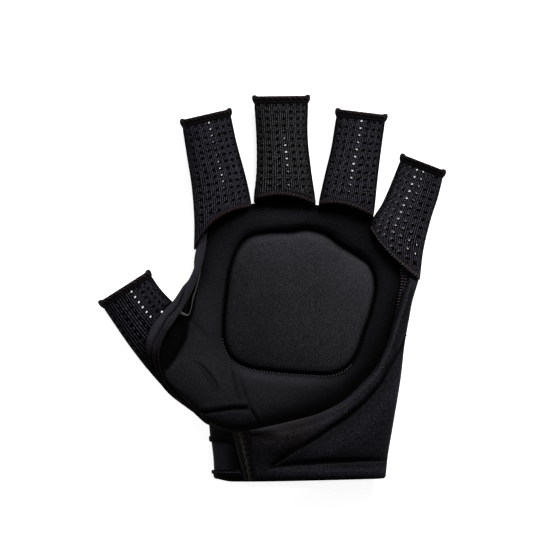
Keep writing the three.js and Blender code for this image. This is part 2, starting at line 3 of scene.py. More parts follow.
import bmesh
import bpy
import numpy as np
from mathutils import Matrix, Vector


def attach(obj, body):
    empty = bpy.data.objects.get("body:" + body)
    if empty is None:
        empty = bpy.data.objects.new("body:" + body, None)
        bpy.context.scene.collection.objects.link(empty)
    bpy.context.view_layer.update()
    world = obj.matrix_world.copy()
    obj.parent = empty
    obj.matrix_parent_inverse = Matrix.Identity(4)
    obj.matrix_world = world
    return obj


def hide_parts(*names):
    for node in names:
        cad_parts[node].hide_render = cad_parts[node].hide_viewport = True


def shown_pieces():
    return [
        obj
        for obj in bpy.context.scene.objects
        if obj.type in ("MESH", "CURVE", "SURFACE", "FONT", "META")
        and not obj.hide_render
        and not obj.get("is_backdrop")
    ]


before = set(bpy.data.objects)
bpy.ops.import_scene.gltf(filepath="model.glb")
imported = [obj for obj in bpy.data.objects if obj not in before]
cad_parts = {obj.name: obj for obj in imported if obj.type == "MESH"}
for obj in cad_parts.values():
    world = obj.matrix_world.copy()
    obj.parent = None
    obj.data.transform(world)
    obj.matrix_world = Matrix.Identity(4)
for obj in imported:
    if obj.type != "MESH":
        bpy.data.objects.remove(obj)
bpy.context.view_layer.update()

# Field hockey glove for the left hand, lying palm up, seen from straight above.
# Sizes are in millimetres until a mesh is made. Fingers point to +Y, the thumb to -X.

tau = 2 * math.pi
gap = 0.3                       # clearance between neighbouring pieces


class Wire:
    # An output of a node. Arithmetic on it adds Math nodes.
    def __init__(self, finish, socket):
        self.finish = finish
        self.socket = socket

    def math(self, operation, *others):
        return self.finish.add("ShaderNodeMath", {"operation": operation}, dict(enumerate([self, *others])))

    def reflected(self, operation, other):
        return self.finish.add("ShaderNodeMath", {"operation": operation}, {0: other, 1: self})

    def __add__(self, other):
        return self.math("ADD", other)

    def __sub__(self, other):
        return self.math("SUBTRACT", other)

    def __mul__(self, other):
        return self.math("MULTIPLY", other)

    def __rsub__(self, other):
        return self.reflected("SUBTRACT", other)

    __radd__ = __add__
    __rmul__ = __mul__


class Finish:
    # One material with a Principled shader. add() makes any other node.
    def __init__(self, name, constants):
        self.material = bpy.data.materials.new(name)
        self.material.use_nodes = True
        self.tree = self.material.node_tree
        self.tree.nodes.clear()
        self.shader = self.tree.nodes.new("ShaderNodeBsdfPrincipled")
        output = self.tree.nodes.new("ShaderNodeOutputMaterial")
        self.tree.links.new(self.shader.outputs["BSDF"], output.inputs["Surface"])
        for socket, value in constants.items():
            self.shader.inputs[socket].default_value = value

    def feed(self, socket, value):
        if isinstance(value, Wire):
            self.tree.links.new(value.socket, socket)
        else:
            socket.default_value = value

    def add(self, kind, settings=None, sockets=None, take=0):
        node = self.tree.nodes.new(kind)
        for key, value in (settings or {}).items():
            setattr(node, key, value)
        for key, value in (sockets or {}).items():
            self.feed(node.inputs[key], value)
        return Wire(self, node.outputs[take])

    def mark(self, name, axis):
        both = self.add("ShaderNodeAttribute", {"attribute_name": name}, take="Vector")
        return self.add("ShaderNodeSeparateXYZ", None, {0: both}, take=axis)

    def noise(self, scale, detail=2.0, rough=0.5):
        place = self.add("ShaderNodeTexCoord", take="Object")
        return self.add("ShaderNodeTexNoise", None, {
            "Vector": place, "Scale": scale, "Detail": detail, "Roughness": rough,
        })

    def plan(self, scale):
        # Where a point lies across and along the glove, in steps of 1/scale metres.
        place = self.add("ShaderNodeTexCoord", take="Object")
        return [self.add("ShaderNodeSeparateXYZ", None, {0: place}, take=axis) * scale for axis in ("X", "Y")]

    def blend(self, share, first, second):
        return self.add("ShaderNodeMix", {"data_type": "RGBA"}, {0: share, 6: first, 7: second}, take=2)

    def wave(self, value):
        # From 0 to 1 and back once for each whole step of value.
        return (value * tau).math("SINE") * 0.5 + 0.5

    def ridge(self, value):
        # 0 at the edges of each whole step of value, 1 in its middle.
        return 1 - (value.math("FRACT") - 0.5).math("ABSOLUTE") * 2

    def finishWith(self, colour, roughness, height, depth, strength):
        # depth is the relief's height in metres.
        bump = self.add("ShaderNodeBump", None, {"Height": height, "Distance": depth, "Strength": strength})
        for socket, value in (("Base Color", colour), ("Roughness", roughness), ("Normal", bump)):
            self.feed(self.shader.inputs[socket], value)
        return self.material


# edge is the colour of a painted glint on the lit rims of the holes
stallKnitLook = {
    "dark": (0.0008, 0.0007, 0.0010, 1), "light": (0.126, 0.119, 0.156, 1), "olive": (0.138, 0.133, 0.140, 1),
    "edge": (0.30, 0.30, 0.33, 1), "ribs": 4, "course": 1.2,
}


def stallKnitFinish(look):
    finish = Finish("perforated rib knit", {
        "Sheen Weight": 0.01, "Sheen Roughness": 0.5, "Specular IOR Level": 0.02,
    })
    across = finish.mark("clothAt", "X") * look["ribs"]
    along = finish.mark("clothAt", "Y") * (1 / look["course"])
    rib = finish.ridge(across)
    loop = finish.ridge(along + rib * 0.5)
    speckle = finish.noise(1100, 3.0, 0.7)
    # look X is painted shade: round the holes, towards the base hem and inside the stall
    paintedShade = finish.mark("look", "X")
    height = rib * 0.55 + loop * 0.45 + speckle * 0.3
    thin = rib.math("POWER", 4.0)
    tone = thin * (0.6 + loop * 0.4) * ((speckle - 0.5) * 5.0 + 0.75) * (1 - paintedShade)
    light = finish.blend(finish.mark("look", "Y"), look["light"], look["olive"])
    knit = finish.blend(tone, look["dark"], light)
    # look Z blends in the painted glint on the holes' lit rims
    colour = finish.blend(finish.mark("look", "Z") * 1.2 - 0.2, knit, look["edge"])
    return finish.finishWith(colour, 0.9 - loop * 0.12, height, 0.00025, 0.8)


palmLook = {
    "base": (0.0060, 0.0060, 0.0070, 1), "pale": (0.0215, 0.0215, 0.0255, 1),
    "shaded": (0.0003, 0.0003, 0.0004, 1), "thread": 1.1, "lift": 0.2, "speckle": 7.0,
}
cushionLook = {
    "base": (0.0058, 0.0058, 0.0066, 1), "pale": (0.0425, 0.0425, 0.0490, 1),
    "shaded": (0.0004, 0.0004, 0.0005, 1), "thread": 1.1, "lift": 0.2, "speckle": 4.6,
}


def liningFinish(name, look):
    # Fine brushed jersey over foam: a speckle of fibres with a faint diagonal weave. Look X is painted shade,
    # look Y painted highlight.
    finish = Finish(name, {"Sheen Weight": 0.012, "Sheen Roughness": 0.45, "Specular IOR Level": 0.02})
    x, y = finish.plan(1000 / look["thread"])
    weave = finish.wave(x + y * 0.5) * finish.wave(y - x * 0.25)
    fine = finish.noise(3200, 3.0, 0.65)
    broad = finish.noise(45, 2.0)
    paintedShade = finish.mark("look", "X")
    paintedLight = finish.mark("look", "Y")
    tone = (fine - 0.5) * look["speckle"] + (broad - 0.5) * 0.35 + weave * 0.2 + look["lift"]
    base = finish.blend(tone + paintedLight, look["base"], look["pale"])
    colour = finish.blend(paintedShade, base, look["shaded"])
    height = weave * 0.5 + fine
    return finish.finishWith(colour, 0.82 - paintedLight * 0.1, height, 0.00012, 0.7)


cuffLook = {
    "cool": (0.0034, 0.0034, 0.0044, 1), "warm": (0.0046, 0.0032, 0.0028, 1),
    "paleCool": (0.0225, 0.0225, 0.0300, 1), "paleWarm": (0.0285, 0.0222, 0.0212, 1),
    "shaded": (0.0003, 0.0003, 0.0003, 1), "rib": 1.1,
}


def cuffFinish(name, look):
    # Doubled stretch cloth with fine level courses, a little browner towards the thumb side. Look X is
    # painted shade, look Y painted highlight.
    finish = Finish(name, {"Sheen Weight": 0.012, "Sheen Roughness": 0.4, "Specular IOR Level": 0.02})
    x, y = finish.plan(1000)
    course = finish.wave(y * (1 / look["rib"]))
    wale = finish.wave(x * 1.25)
    fine = finish.noise(1700, 3.0, 0.7)
    broad = finish.noise(60)
    paintedShade = finish.mark("look", "X")
    warmth = finish.mark("look", "Z")
    paintedLight = finish.mark("look", "Y")
    base = finish.blend(warmth, look["cool"], look["warm"])
    pale = finish.blend(warmth, look["paleCool"], look["paleWarm"])
    tone = (fine - 0.5) * 3.6 + (broad - 0.5) * 0.4 + course * 0.16 + paintedLight - 0.1
    lit = finish.blend(tone, base, pale)
    colour = finish.blend(paintedShade, lit, look["shaded"])
    height = course * 0.7 + wale * 0.25 + fine * 0.6
    return finish.finishWith(colour, 0.8 - fine * 0.1, height, 0.00014, 0.7)


webbingLook = {"dark": (0.0012, 0.0012, 0.0016, 1), "light": (0.0150, 0.0148, 0.0210, 1), "rib": 1.3}


def webbingFinish(look):
    finish = Finish("elastic webbing", {"Sheen Weight": 0.012, "Specular IOR Level": 0.02})
    x, y = finish.plan(1000)
    rib = finish.ridge(x * (1 / look["rib"]))
    weft = finish.wave(y * 1.6 + rib * 0.5)
    fine = finish.noise(1900)
    tone = rib * 0.02 + weft * 0.1 + (fine - 0.5) * 1.6 + finish.mark("look", "Y") + 0.1
    colour = finish.blend(tone, look["dark"], look["light"])
    return finish.finishWith(colour, 0.62 + fine * 0.2, rib * 0.3 + weft * 0.6, 0.0001, 0.8)


threadLook = {
    "dark": (0.0006, 0.0004, 0.0005, 1), "grey": (0.080, 0.066, 0.076, 1),
    "brown": (0.042, 0.0190, 0.0145, 1),
}


def threadFinish(name, look):
    # Overlock thread: each wrap has its own tint, with fine fibres twisted along it.
    finish = Finish(name, {"Sheen Weight": 0.008, "Sheen Roughness": 0.4, "Specular IOR Level": 0.04})
    # look X is each wrap's lit crest, with the painted shade and highlights of the rolls and seams
    ridge = finish.mark("look", "X")
    tint = finish.mark("look", "Y")
    twist = finish.wave(finish.mark("clothAt", "X") * 2.2 + finish.mark("clothAt", "Y") * 1.6)
    fine = finish.noise(2200)
    thread = finish.blend(tint, look["grey"], look["brown"])
    tone = ridge * (0.45 + fine * 0.8) + twist * 0.08 * ridge
    colour = finish.blend(tone, look["dark"], thread)
    return finish.finishWith(colour, 0.78 - ridge * 0.12, twist * 0.5 + fine * 0.5, 0.00006, 0.6)


stitchLook = {"dark": (0.014, 0.013, 0.016, 1), "light": (0.085, 0.080, 0.090, 1)}


def stitchFinish(name, look):
    finish = Finish(name, {"Sheen Weight": 0.01, "Specular IOR Level": 0.02})
    fine = finish.noise(1800)
    twist = finish.wave(finish.mark("clothAt", "X") * 3 + finish.mark("clothAt", "Y") * 2)
    colour = finish.blend(fine * 0.8 + twist * 0.3 - 0.1, look["dark"], look["light"])
    return finish.finishWith(colour, 0.7 - twist * 0.1, twist + fine * 0.4, 0.00008, 0.6)


stallKnit = stallKnitFinish(stallKnitLook)
palmLining = liningFinish("palm lining", palmLook)
cushionLining = liningFinish("cushion lining", cushionLook)
wristCloth = cuffFinish("wrist cloth", cuffLook)
elasticWebbing = webbingFinish(webbingLook)
hemThread = threadFinish("hem thread", threadLook)
seamThread = stitchFinish("seam thread", stitchLook)
tapeThread = threadFinish("seam tape thread", {
    "dark": (0.0006, 0.0006, 0.0008, 1), "grey": (0.038, 0.037, 0.032, 1),
    "brown": (0.020, 0.013, 0.010, 1),
})
shadeThread = stitchFinish("shadow seam thread", {
    "dark": (0.0005, 0.0004, 0.0005, 1), "light": (0.006, 0.0055, 0.006, 1),
})
tickThread = stitchFinish("grey seam thread", {
    "dark": (0.006, 0.0055, 0.0062, 1), "light": (0.042, 0.038, 0.041, 1),
})
paleThread = stitchFinish("pale seam thread", {
    "dark": (0.012, 0.0095, 0.0080, 1), "light": (0.075, 0.062, 0.054, 1),
})
slitCloth = stitchFinish("slit edge cloth", {
    "dark": (0.042, 0.044, 0.043, 1), "light": (0.110, 0.114, 0.112, 1),
})
print("finishes made")


def named(columns, lines):
    return dict(zip(columns, np.array(lines, float).T))


def between(pairs, value):
    # Straight lines through pairs of place and value.
    return np.interp(value, *np.array(pairs).T)


def turns(count):
    return np.arange(count) / count * tau


def runAlong(points):
    # The length walked up to each point.
    return np.concatenate([[0], np.cumsum(np.linalg.norm(np.diff(points, axis=0), axis=1))])


def readAt(column, place):
    # Smooth curve through a column's values, read at places counted in rows.
    place = np.asarray(place, float)
    last = len(column) - 1
    k = np.clip(np.floor(place).astype(int), 0, last - 1)
    f = place - k
    longer = np.concatenate([[2 * column[0] - column[1]], column, [2 * column[-1] - column[-2]]])
    a, b, c, d = (longer[k + i] for i in range(4))
    smooth = b + 0.5 * f * (c - a + f * (2 * a - 5 * b + 4 * c - d + f * (3 * (b - c) + d - a)))
    return np.where(f < 0, b + f * (c - b), np.where(f > 1, c + (f - 1) * (c - b), smooth))


def bisect(isPast, low, high, rounds=30):
    for _ in range(rounds):
        mid = (low + high) / 2
        past = isPast(mid)
        low = np.where(past, low, mid)
        high = np.where(past, mid, high)
    return (low + high) / 2


def placeOf(column, value):
    # The place, counted in rows, where a rising or falling column has the value.
    rising = column[-1] > column[0]
    low = np.full(np.shape(value), -1.0)
    high = np.full(np.shape(value), float(len(column)))
    return bisect(lambda mid: (readAt(column, mid) < value) != rising, low, high)


def sectionAt(angle, halfWidth, halfHeight, roundness):
    power = 2 / roundness
    c = np.cos(angle)
    s = np.sin(angle)
    return halfWidth * np.sign(c) * np.abs(c) ** power, halfHeight * np.sign(s) * np.abs(s) ** power


def smoothStep(value, low, high):
    f = np.clip((value - low) / (high - low), 0, 1)
    return f * f * (3 - 2 * f)


def threadRidge(value):
    # Rounded threads side by side: 0 in the valley, 1 on top.
    f = value - np.floor(value)
    return np.sqrt(np.clip(1 - (2 * f - 1) ** 2, 0, 1))


def wrapTone(value):
    # Narrow lit crests with dark valleys between the threads.
    return (0.5 - 0.5 * np.cos(value * tau)) ** 2.4


def wrapTint(i, count):
    # One tint from 0 to 1 for each wrap of thread.
    return 0.5 + 0.5 * np.sin(i * 12.9898 + count) * np.sin(i * 4.1414 + 1.7)


def bell(distance, width):
    return np.exp(-(distance / width) ** 2)


def lineField(x, y, line):
    # Distance to a line, the side of it, and the share along it, for each plan point.
    path = np.array(line, float)
    steps = np.diff(path, axis=0)
    start = runAlong(path)
    best = np.full(np.shape(x), 1e9)
    side = np.zeros(np.shape(x))
    share = np.zeros(np.shape(x))
    for (px, py), (dx, dy), begin in zip(path, steps, start):
        length = math.hypot(dx, dy)
        ux, uy = dx / length, dy / length
        t = np.clip((x - px) * ux + (y - py) * uy, 0, length)
        away = np.hypot(x - px - t * ux, y - py - t * uy)
        nearer = away < best
        best = np.where(nearer, away, best)
        side = np.where(nearer, np.sign((y - py) * ux - (x - px) * uy), side)
        share = np.where(nearer, (begin + t) / start[-1], share)
    return best, side, share


def smoothLine(line, step):
    # A smooth line through the given points, with points about one step apart.
    points = np.array(line, float)
    places = np.linspace(0, len(points) - 1, 40 * len(points))
    dense = np.stack([readAt(column, places) for column in points.T], 1)
    along = runAlong(dense)
    at = np.linspace(0, along[-1], max(2, round(along[-1] / step)) + 1)
    return np.stack([np.interp(at, along, column) for column in dense.T], 1)


def corners(first, steps):
    # Turns cells (i, j) and four offsets into corner columns, rows and layers.
    i, j = first
    offsets = np.array(steps)
    return (i[:, None] + offsets[:, 0], j[:, None] + offsets[:, 1],
            np.broadcast_to(offsets[:, 2], (len(i), 4)))


def shellFaces(columns, rows, wraps, kept):
    # Quads of a two-layered grid over the kept cells, closed along their rim.
    framed = np.zeros((kept.shape[0] + 2, kept.shape[1] + 2), bool)
    framed[1:-1, 1:-1] = kept
    if wraps:
        framed[0] = framed[-2]
        framed[-1] = framed[1]
    sides = [
        (kept, [(0, 0, 0), (1, 0, 0), (1, 1, 0), (0, 1, 0)]),
        (kept, [(0, 0, 1), (0, 1, 1), (1, 1, 1), (1, 0, 1)]),
        (kept & ~framed[1:-1, :-2], [(0, 0, 1), (1, 0, 1), (1, 0, 0), (0, 0, 0)]),
        (kept & ~framed[1:-1, 2:], [(0, 1, 0), (1, 1, 0), (1, 1, 1), (0, 1, 1)]),
        (kept & ~framed[:-2, 1:-1], [(0, 0, 0), (0, 1, 0), (0, 1, 1), (0, 0, 1)]),
        (kept & ~framed[2:, 1:-1], [(1, 0, 1), (1, 1, 1), (1, 1, 0), (1, 0, 0)]),
    ]
    found = [corners(np.nonzero(mask), steps) for mask, steps in sides]
    i, j, layer = (np.concatenate([f[k] for f in found]) for k in range(3))
    return ((i % columns) * rows + j) * 2 + layer, i, j, layer


def gridFaces(columns, rows, wrapColumns, wrapRows):
    i, j = np.meshgrid(
        np.arange(columns if wrapColumns else columns - 1),
        np.arange(rows if wrapRows else rows - 1), indexing="ij",
    )
    i, j, _ = corners((i.ravel(), j.ravel()), [(0, 0, 0), (1, 0, 0), (1, 1, 0), (0, 1, 0)])
    return (i % columns) * rows + j % rows, i, j


def makePiece(name, points, faces, marks, finish, replaces=(), weld=False):
    # Makes the mesh in metres. marks are vectors for each face corner.
    p = points[faces]
    volume = (p[:, 0] * np.cross(p[:, 1], p[:, 2])).sum() + (p[:, 0] * np.cross(p[:, 2], p[:, 3])).sum()
    if volume < 0:
        faces = faces[:, ::-1]
        marks = {mark: values[:, ::-1] for mark, values in marks.items()}
    used, numbers = np.unique(faces, return_inverse=True)
    numbers = numbers.reshape(faces.shape)
    mesh = bpy.data.meshes.new(name)
    mesh.vertices.add(len(used))
    mesh.vertices.foreach_set("co", (points[used] * 0.001).astype(np.float32).ravel())
    mesh.loops.add(numbers.size)
    mesh.loops.foreach_set("vertex_index", numbers.astype(np.int32).ravel())
    mesh.polygons.add(len(numbers))
    mesh.polygons.foreach_set("loop_start", np.arange(0, numbers.size, 4, dtype=np.int32))
    mesh.update(calc_edges=True)
    for mark, values in marks.items():
        layer = mesh.attributes.new(mark, "FLOAT_VECTOR", "CORNER")
        layer.data.foreach_set("vector", np.ascontiguousarray(values, np.float32).ravel())
    if weld:
        work = bmesh.new()
        work.from_mesh(mesh)
        bmesh.ops.remove_doubles(work, verts=work.verts, dist=2e-6)
        bmesh.ops.dissolve_degenerate(work, edges=work.edges, dist=2e-6)
        work.to_mesh(mesh)
        work.free()
    mesh.shade_smooth()
    mesh.materials.append(finish)
    piece = bpy.data.objects.new(name, mesh)
    bpy.context.scene.collection.objects.link(piece)
    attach(piece, "root")
    if replaces:
        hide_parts(*replaces)
    return piece


def tube(sections, closed):
    # Faces and corner coordinates of closed sections swept one after another.
    count, sides = sections.shape[:2]
    middles = sections.mean(1)
    along = runAlong(np.vstack([middles, middles[:1]]))
    faces, i, j = gridFaces(count, sides, closed, True)
    rim = np.linalg.norm(sections[0] - np.roll(sections[0], 1, 0), axis=1).sum() / sides
    at = np.stack([along[i], j * rim, np.zeros(i.shape)], -1)
    points = sections.reshape(-1, 3)
    if closed:
        return points, faces, i, j, at
    ring = np.arange(sides)
    fan = np.stack([ring[0::2], ring[1::2], np.roll(ring, -2)[0::2]], 1)
    caps = []
    for place in (0, count - 1):
        cap = np.column_stack([np.full(len(fan), len(points)), fan + place * sides])
        points = np.vstack([points, middles[place]])
        caps.append(cap[:, ::-1] if place else cap)
    zeros = np.zeros((2 * len(fan), 4), int)
    i = np.vstack([i[:, ::-1], zeros])
    i[-len(fan):] = count - 1
    return (points, np.vstack([faces[:, ::-1], *caps]), i, np.vstack([j[:, ::-1], zeros]),
            np.vstack([at[:, ::-1], np.zeros(zeros.shape + (3,))]))


def sweep(name, sections, closed, values, finish, replaces=()):
    # A piece swept through closed sections. values are the grids of its look.
    points, faces, i, j, at = tube(sections, closed)
    count, sides = sections.shape[:2]
    look = np.zeros(at.shape)
    for k, value in enumerate(values):
        look[..., k] = np.broadcast_to(value, (count, sides))[i % count, j % sides]
    return makePiece(name, points, faces, {"clothAt": at, "look": look}, finish, replaces)


def unit(vectors):
    return vectors / np.maximum(np.linalg.norm(vectors, axis=-1, keepdims=True), 1e-6)


sewnThread = {
    "sides": 6, "levels": [0.0, 0.12, 0.5, 0.88, 1.0], "swell": [0.35, 0.9, 1.0, 0.9, 0.35], "arch": 0.25,
}


def stitches(name, rows, finish, radius, share):
    # Short sewn threads. Each row holds their starts, their ends and the normals of the cloth there.
    levels = np.array(sewnThread["levels"])
    swell = np.array(sewnThread["swell"]) * radius
    sides = sewnThread["sides"]
    block = len(levels) * sides
    starts, ends, normals = (np.vstack([row[k] for row in rows]) for k in range(3))
    order = np.concatenate([np.arange(len(row[0])) for row in rows])
    along = unit(ends - starts)
    across = unit(np.cross(along, normals))
    up = np.cross(across, along)
    centre = (starts + ends)[:, None] / 2 + (ends - starts)[:, None] * ((levels - 0.5) * share)[:, None]
    centre = centre + up[:, None] * (sewnThread["arch"] * (0.5 - (2 * levels - 1) ** 2))[:, None]
    turn = turns(sides)
    ring = across[:, None, None] * np.cos(turn)[:, None] + up[:, None, None] * np.sin(turn)[:, None]
    points = centre[:, :, None] + ring * swell[:, None, None]
    at = np.zeros(points.shape)
    at[..., 0] = levels[:, None] * 1.4 + order[:, None, None] * 0.37
    at[..., 1] = turn * 0.2
    cap = np.array([[0, 1, 2, 3], [0, 3, 4, 5]])
    quads = np.vstack([gridFaces(len(levels), sides, False, True)[0], cap[:, ::-1], cap + block - sides])
    faces = (quads[None] + (np.arange(len(starts)) * block)[:, None, None]).reshape(-1, 4)
    marks = {"clothAt": at.reshape(-1, 3)[faces], "look": np.zeros(faces.shape + (3,))}
    return makePiece(name, points.reshape(-1, 3), faces, marks, finish)


def evenStitches(line, heightAt, pitch, lift, slant=0.0, zigzag=0.0):
    # Threads one after another along a plan line, laid on the surface that heightAt gives.
    path = smoothLine(line, pitch)[:, :2]
    along = np.diff(path, axis=0)
    side = unit(np.column_stack([-along[:, 1], along[:, 0]]))
    shift = side * (slant + zigzag * np.where(np.arange(len(along)) % 2, 1.0, -1.0)[:, None])
    ends = [path[:-1] - shift, path[1:] + shift]
    x, y = ((ends[0] + ends[1]) / 2).T
    reach = 0.5
    dx = (heightAt(x + reach, y) - heightAt(x - reach, y)) / (2 * reach)
    dy = (heightAt(x, y + reach) - heightAt(x, y - reach)) / (2 * reach)
    a, b = (np.column_stack([p, heightAt(*p.T) + lift]) for p in ends)
    return a, b, unit(np.column_stack([-dx, -dy, np.ones(len(x))]))


padOutline = [
    [68.4, 7.4], [65.4, 14.2], [60.4, 20.0], [55.0, 25.6], [51.6, 30.6], [47.6, 35.4], [41.5, 39.2],
    [32.1, 41.0], [22.8, 41.4], [14.3, 42.8], [6.1, 43.2], [-2.0, 43.0], [-9.6, 42.2], [-16.3, 41.2],
    [-25.0, 37.8], [-33.2, 30.6], [-37.0, 22.0], [-38.6, 14.0], [-38.8, 8.0], [-40.6, 2.0],
    [-43.2, -4.5], [-45.0, -10.5], [-44.4, -16.0], [-44.4, -24.0], [-47.2, -31.0], [-51.0, -37.5],
    [-55.0, -42.6], [-53.8, -46.8], [-49.4, -51.2], [-45.0, -55.0], [-40.8, -59.0], [-36.4, -63.6],
    [-31.8, -67.4], [-27.6, -68.8], [-25.8, -73.0], [-24.4, -80.0], [-14.0, -81.0], [12.0, -81.2],
    [34.7, -80.8], [50.5, -80.0], [56.4, -74.5], [59.6, -58.0], [62.2, -40.0], [64.2, -25.0],
    [66.4, -12.0], [68.2, -3.0],
]
cushionOutline = [
    [52.6, 1.5], [50.2, 11.0], [43.0, 16.8], [34.6, 22.0], [27.6, 27.2], [18.4, 29.8], [9.6, 28.8],
    [-3.0, 28.2], [-11.6, 26.2], [-17.2, 20.6], [-20.8, 11.4], [-23.0, -3.0], [-24.2, -16.0],
    [-24.0, -26.6], [-20.4, -35.0], [-12.0, -39.8], [2.0, -42.0], [18.0, -43.2], [30.6, -43.4],
    [38.0, -39.8], [42.8, -33.4], [46.6, -22.4], [50.4, -11.0],
]
middle = (14.3, -6.9)
padRise = named(["direction", "lift"], [
    [0, 4.5], [45, 4.5], [90, 2.5], [135, 3], [180, 1.5], [205, 2], [228, 1], [270, 0.5], [315, 5],
    [360, 4.5],
])
padSection = named(["share", "top", "under"], [
    [0.0, 9.6, 0], [0.08, 11.6, 0], [0.24, 13.2, 0], [0.45, 13.6, 0.2], [0.68, 12.8, 1.4],
    [0.88, 11.0, 3.4], [1.0, 9.2, 5.2],
])
cushionSection = named(["share", "top"], [
    [0.0, 14.1], [0.3, 14.0], [0.6, 13.8], [0.8, 13.5], [0.9, 12.9], [0.96, 11.9], [1.0, 10.2],
])
bandEdge = named(["x", "y"], [
    [-36.0, -68.2], [-31.6, -69.2], [-27.5, -71.0], [-19.4, -72.4], [-11.2, -71.9], [1.5, -69.4],
    [19.9, -65.0], [28.8, -61.7], [38.0, -56.6], [46.9, -48.5], [54.3, -40.3], [59.9, -29.3],
    [63.7, -17.6], [65.5, -12.0], [67.9, -4.6], [70.9, 4.8],
])
recessFloor = 7.0
cushionSeam = 0.8

palm = {
    "around": 640, "across": 62, "under": 10, "edgeSwell": 0.32,
    "creases": [
        # fade is the share of the line that it takes to run in and out, ridge the puff beside it
        {"line": [[-39.5, -37.0], [-35.0, -43.5], [-31.2, -50.0], [-28.0, -58.0]],
         "depth": 0.55, "width": 1.9, "fade": 0.4, "shade": 0.14, "ridge": 0.3},
        {"line": [[-42.5, -35.4], [-36.0, -39.4], [-31.7, -43.7], [-28.2, -48.9], [-26.7, -56.0]],
         "depth": 0.35, "width": 0.6, "fade": 0.35, "shade": 0.7, "ridge": 0.2},
        {"line": [[-21.4, -38.5], [-20.0, -44.0], [-18.4, -52.0], [-16.2, -60.0]],
         "depth": 0.5, "width": 1.1, "fade": 0.3, "shade": 0.4, "ridge": 0.35},
        {"line": [[-17.6, -41.0], [-15.8, -48.0], [-13.6, -55.0], [-10.8, -61.5], [-6.4, -69.8]],
         "depth": 0.45, "width": 0.9, "fade": 0.25, "shade": 0.35, "ridge": 0.3},
        {"line": [[-37.6, -63.9], [-31.6, -63.0], [-25.5, -62.2], [-20.4, -61.4], [-11.7, -61.1]],
         "depth": 1.6, "width": 1.1, "fade": 0.05, "shade": 1.0, "ridge": 0.5, "sharp": True},
        {"line": [[-11.7, -61.1], [-9.9, -63.0], [-7.7, -66.6], [-5.6, -70.1]],
         "depth": 0.6, "width": 0.55, "fade": 0.1, "shade": 0.95, "ridge": 0.3},
        {"line": [[-51.0, -50.2], [-46.4, -54.8], [-41.3, -58.9], [-37.2, -64.0]],
         "depth": 0.5, "width": 0.8, "fade": 0.15, "shade": 0.5, "ridge": 0.2},
        {"line": [[-43.2, -15.6], [-43.8, -21.7], [-44.6, -26.3], [-47.7, -31.6], [-50.8, -37.0],
                  [-54.8, -42.2]],
         "depth": 0.4, "width": 1.0, "fade": 0.04, "shade": 0.97, "ridge": 0.0, "sharp": True},
        {"line": [[-1.5, 44.1], [1.5, 42.1], [5.1, 41.4], [9.2, 42.2], [13.3, 44.6]],
         "depth": 1.2, "width": 1.3, "fade": 0.2, "shade": 0.9, "ridge": 0.0},
        {"line": [[19.5, 38.7], [22.5, 40.1], [26.0, 41.2]],
         "depth": 0.7, "width": 0.7, "fade": 0.3, "shade": 0.7, "ridge": 0.2},
        {"line": [[-43.4, -15.6], [-40.0, -18.5], [-35.0, -23.5], [-31.0, -29.0]],
         "depth": 0.4, "width": 1.6, "fade": 0.35, "shade": 0.12, "ridge": 0.3},
    ],
    "slit": [[-36.2, 11.0], [-36.5, 9.7], [-37.4, 4.8], [-38.9, -0.7], [-40.3, -5.0], [-41.1, -9.3],
             [-42.2, -12.9], [-43.2, -14.8]],
    "slitDepth": 6.5, "slitFloor": 3.2, "slitShade": [(0, 0.6), (0.5, 1.3), (1, 2.6)],
    "softFolds": 0.16,
    # the upper edge of the dark lens under the middle stall, painted as shade, and how deep it dips
    "lens": [(-1.5, 44.1), (1.5, 42.1), (5.1, 41.5), (9.2, 42.3), (13.3, 44.6)], "lensDepth": 1.5,
    # the lining runs on under the stalls and the band: from and to in degrees, and how far in mm
    "reach": [(-138, -112, 2.6), (-14, 24, 2.2), (27, 44, 1.6), (42, 56, 4.0), (49, 77, 3.6), (83, 113, 5.2),
              (117, 146, 4.2)],
    # painted shade on the lining at its outer edge: compass direction, strength and how far in, in mm
    "edgeShade": [(-180, 0.3, 3), (-150, 0.4, 2.5), (-135, 0.8, 4), (-120, 0.92, 4), (-30, 1, 4), (5, 1, 4.5),
                  (25, 1, 9), (45, 1, 12), (60, 1, 10), (90, 0.97, 5), (110, 0.97, 5), (125, 1, 9),
                  (140, 1, 12), (160, 0.9, 8), (180, 0.5, 4)],
    # the same beside the band: across the glove in mm, and how far in
    "bandShade": [(-36, 4.5), (-20, 7.0), (0, 9.0), (20, 13.0), (40, 16.0), (53, 13.5), (62, 10.5),
                  (71, 8.5)],
    # how wide the painted shade of the groove round the cushion is, by compass direction, in mm
    "grooveWidth": [(-180, 0.7), (-130, 0.9), (-110, 1.3), (-60, 1.3), (-40, 0.8), (0, 0.7), (30, 0.9),
                    (50, 2.1), (100, 2.2), (125, 1.4), (150, 0.7), (180, 0.7)],
}


def closedRadius(outline):
    # Closed centripetal curve through the outline, read as a radius round the middle.
    p = np.array(outline)
    count = len(p)
    t = np.linspace(0, 1, 25)[:-1, None]
    found = []
    for k in range(count):
        x0, x1, x2, x3 = (p[(k + i) % count] for i in (-1, 0, 1, 2))
        d0, d1, d2 = (max(np.linalg.norm(b - a), 1e-4) ** 0.5 for a, b in ((x0, x1), (x1, x2), (x2, x3)))
        t1 = ((x1 - x0) / d0 - (x2 - x0) / (d0 + d1) + (x2 - x1) / d1) * d1
        t2 = ((x2 - x1) / d1 - (x3 - x1) / (d1 + d2) + (x3 - x2) / d2) * d1
        found.append(x1 + t1 * t + (3 * (x2 - x1) - 2 * t1 - t2) * t ** 2
                     + (2 * (x1 - x2) + t1 + t2) * t ** 3)
    dense = np.vstack(found) - middle
    angles = np.arctan2(dense[:, 1], dense[:, 0])
    radii = np.hypot(*dense.T)
    order = np.argsort(angles)
    return lambda angle: np.interp(angle, angles[order], radii[order], period=tau)


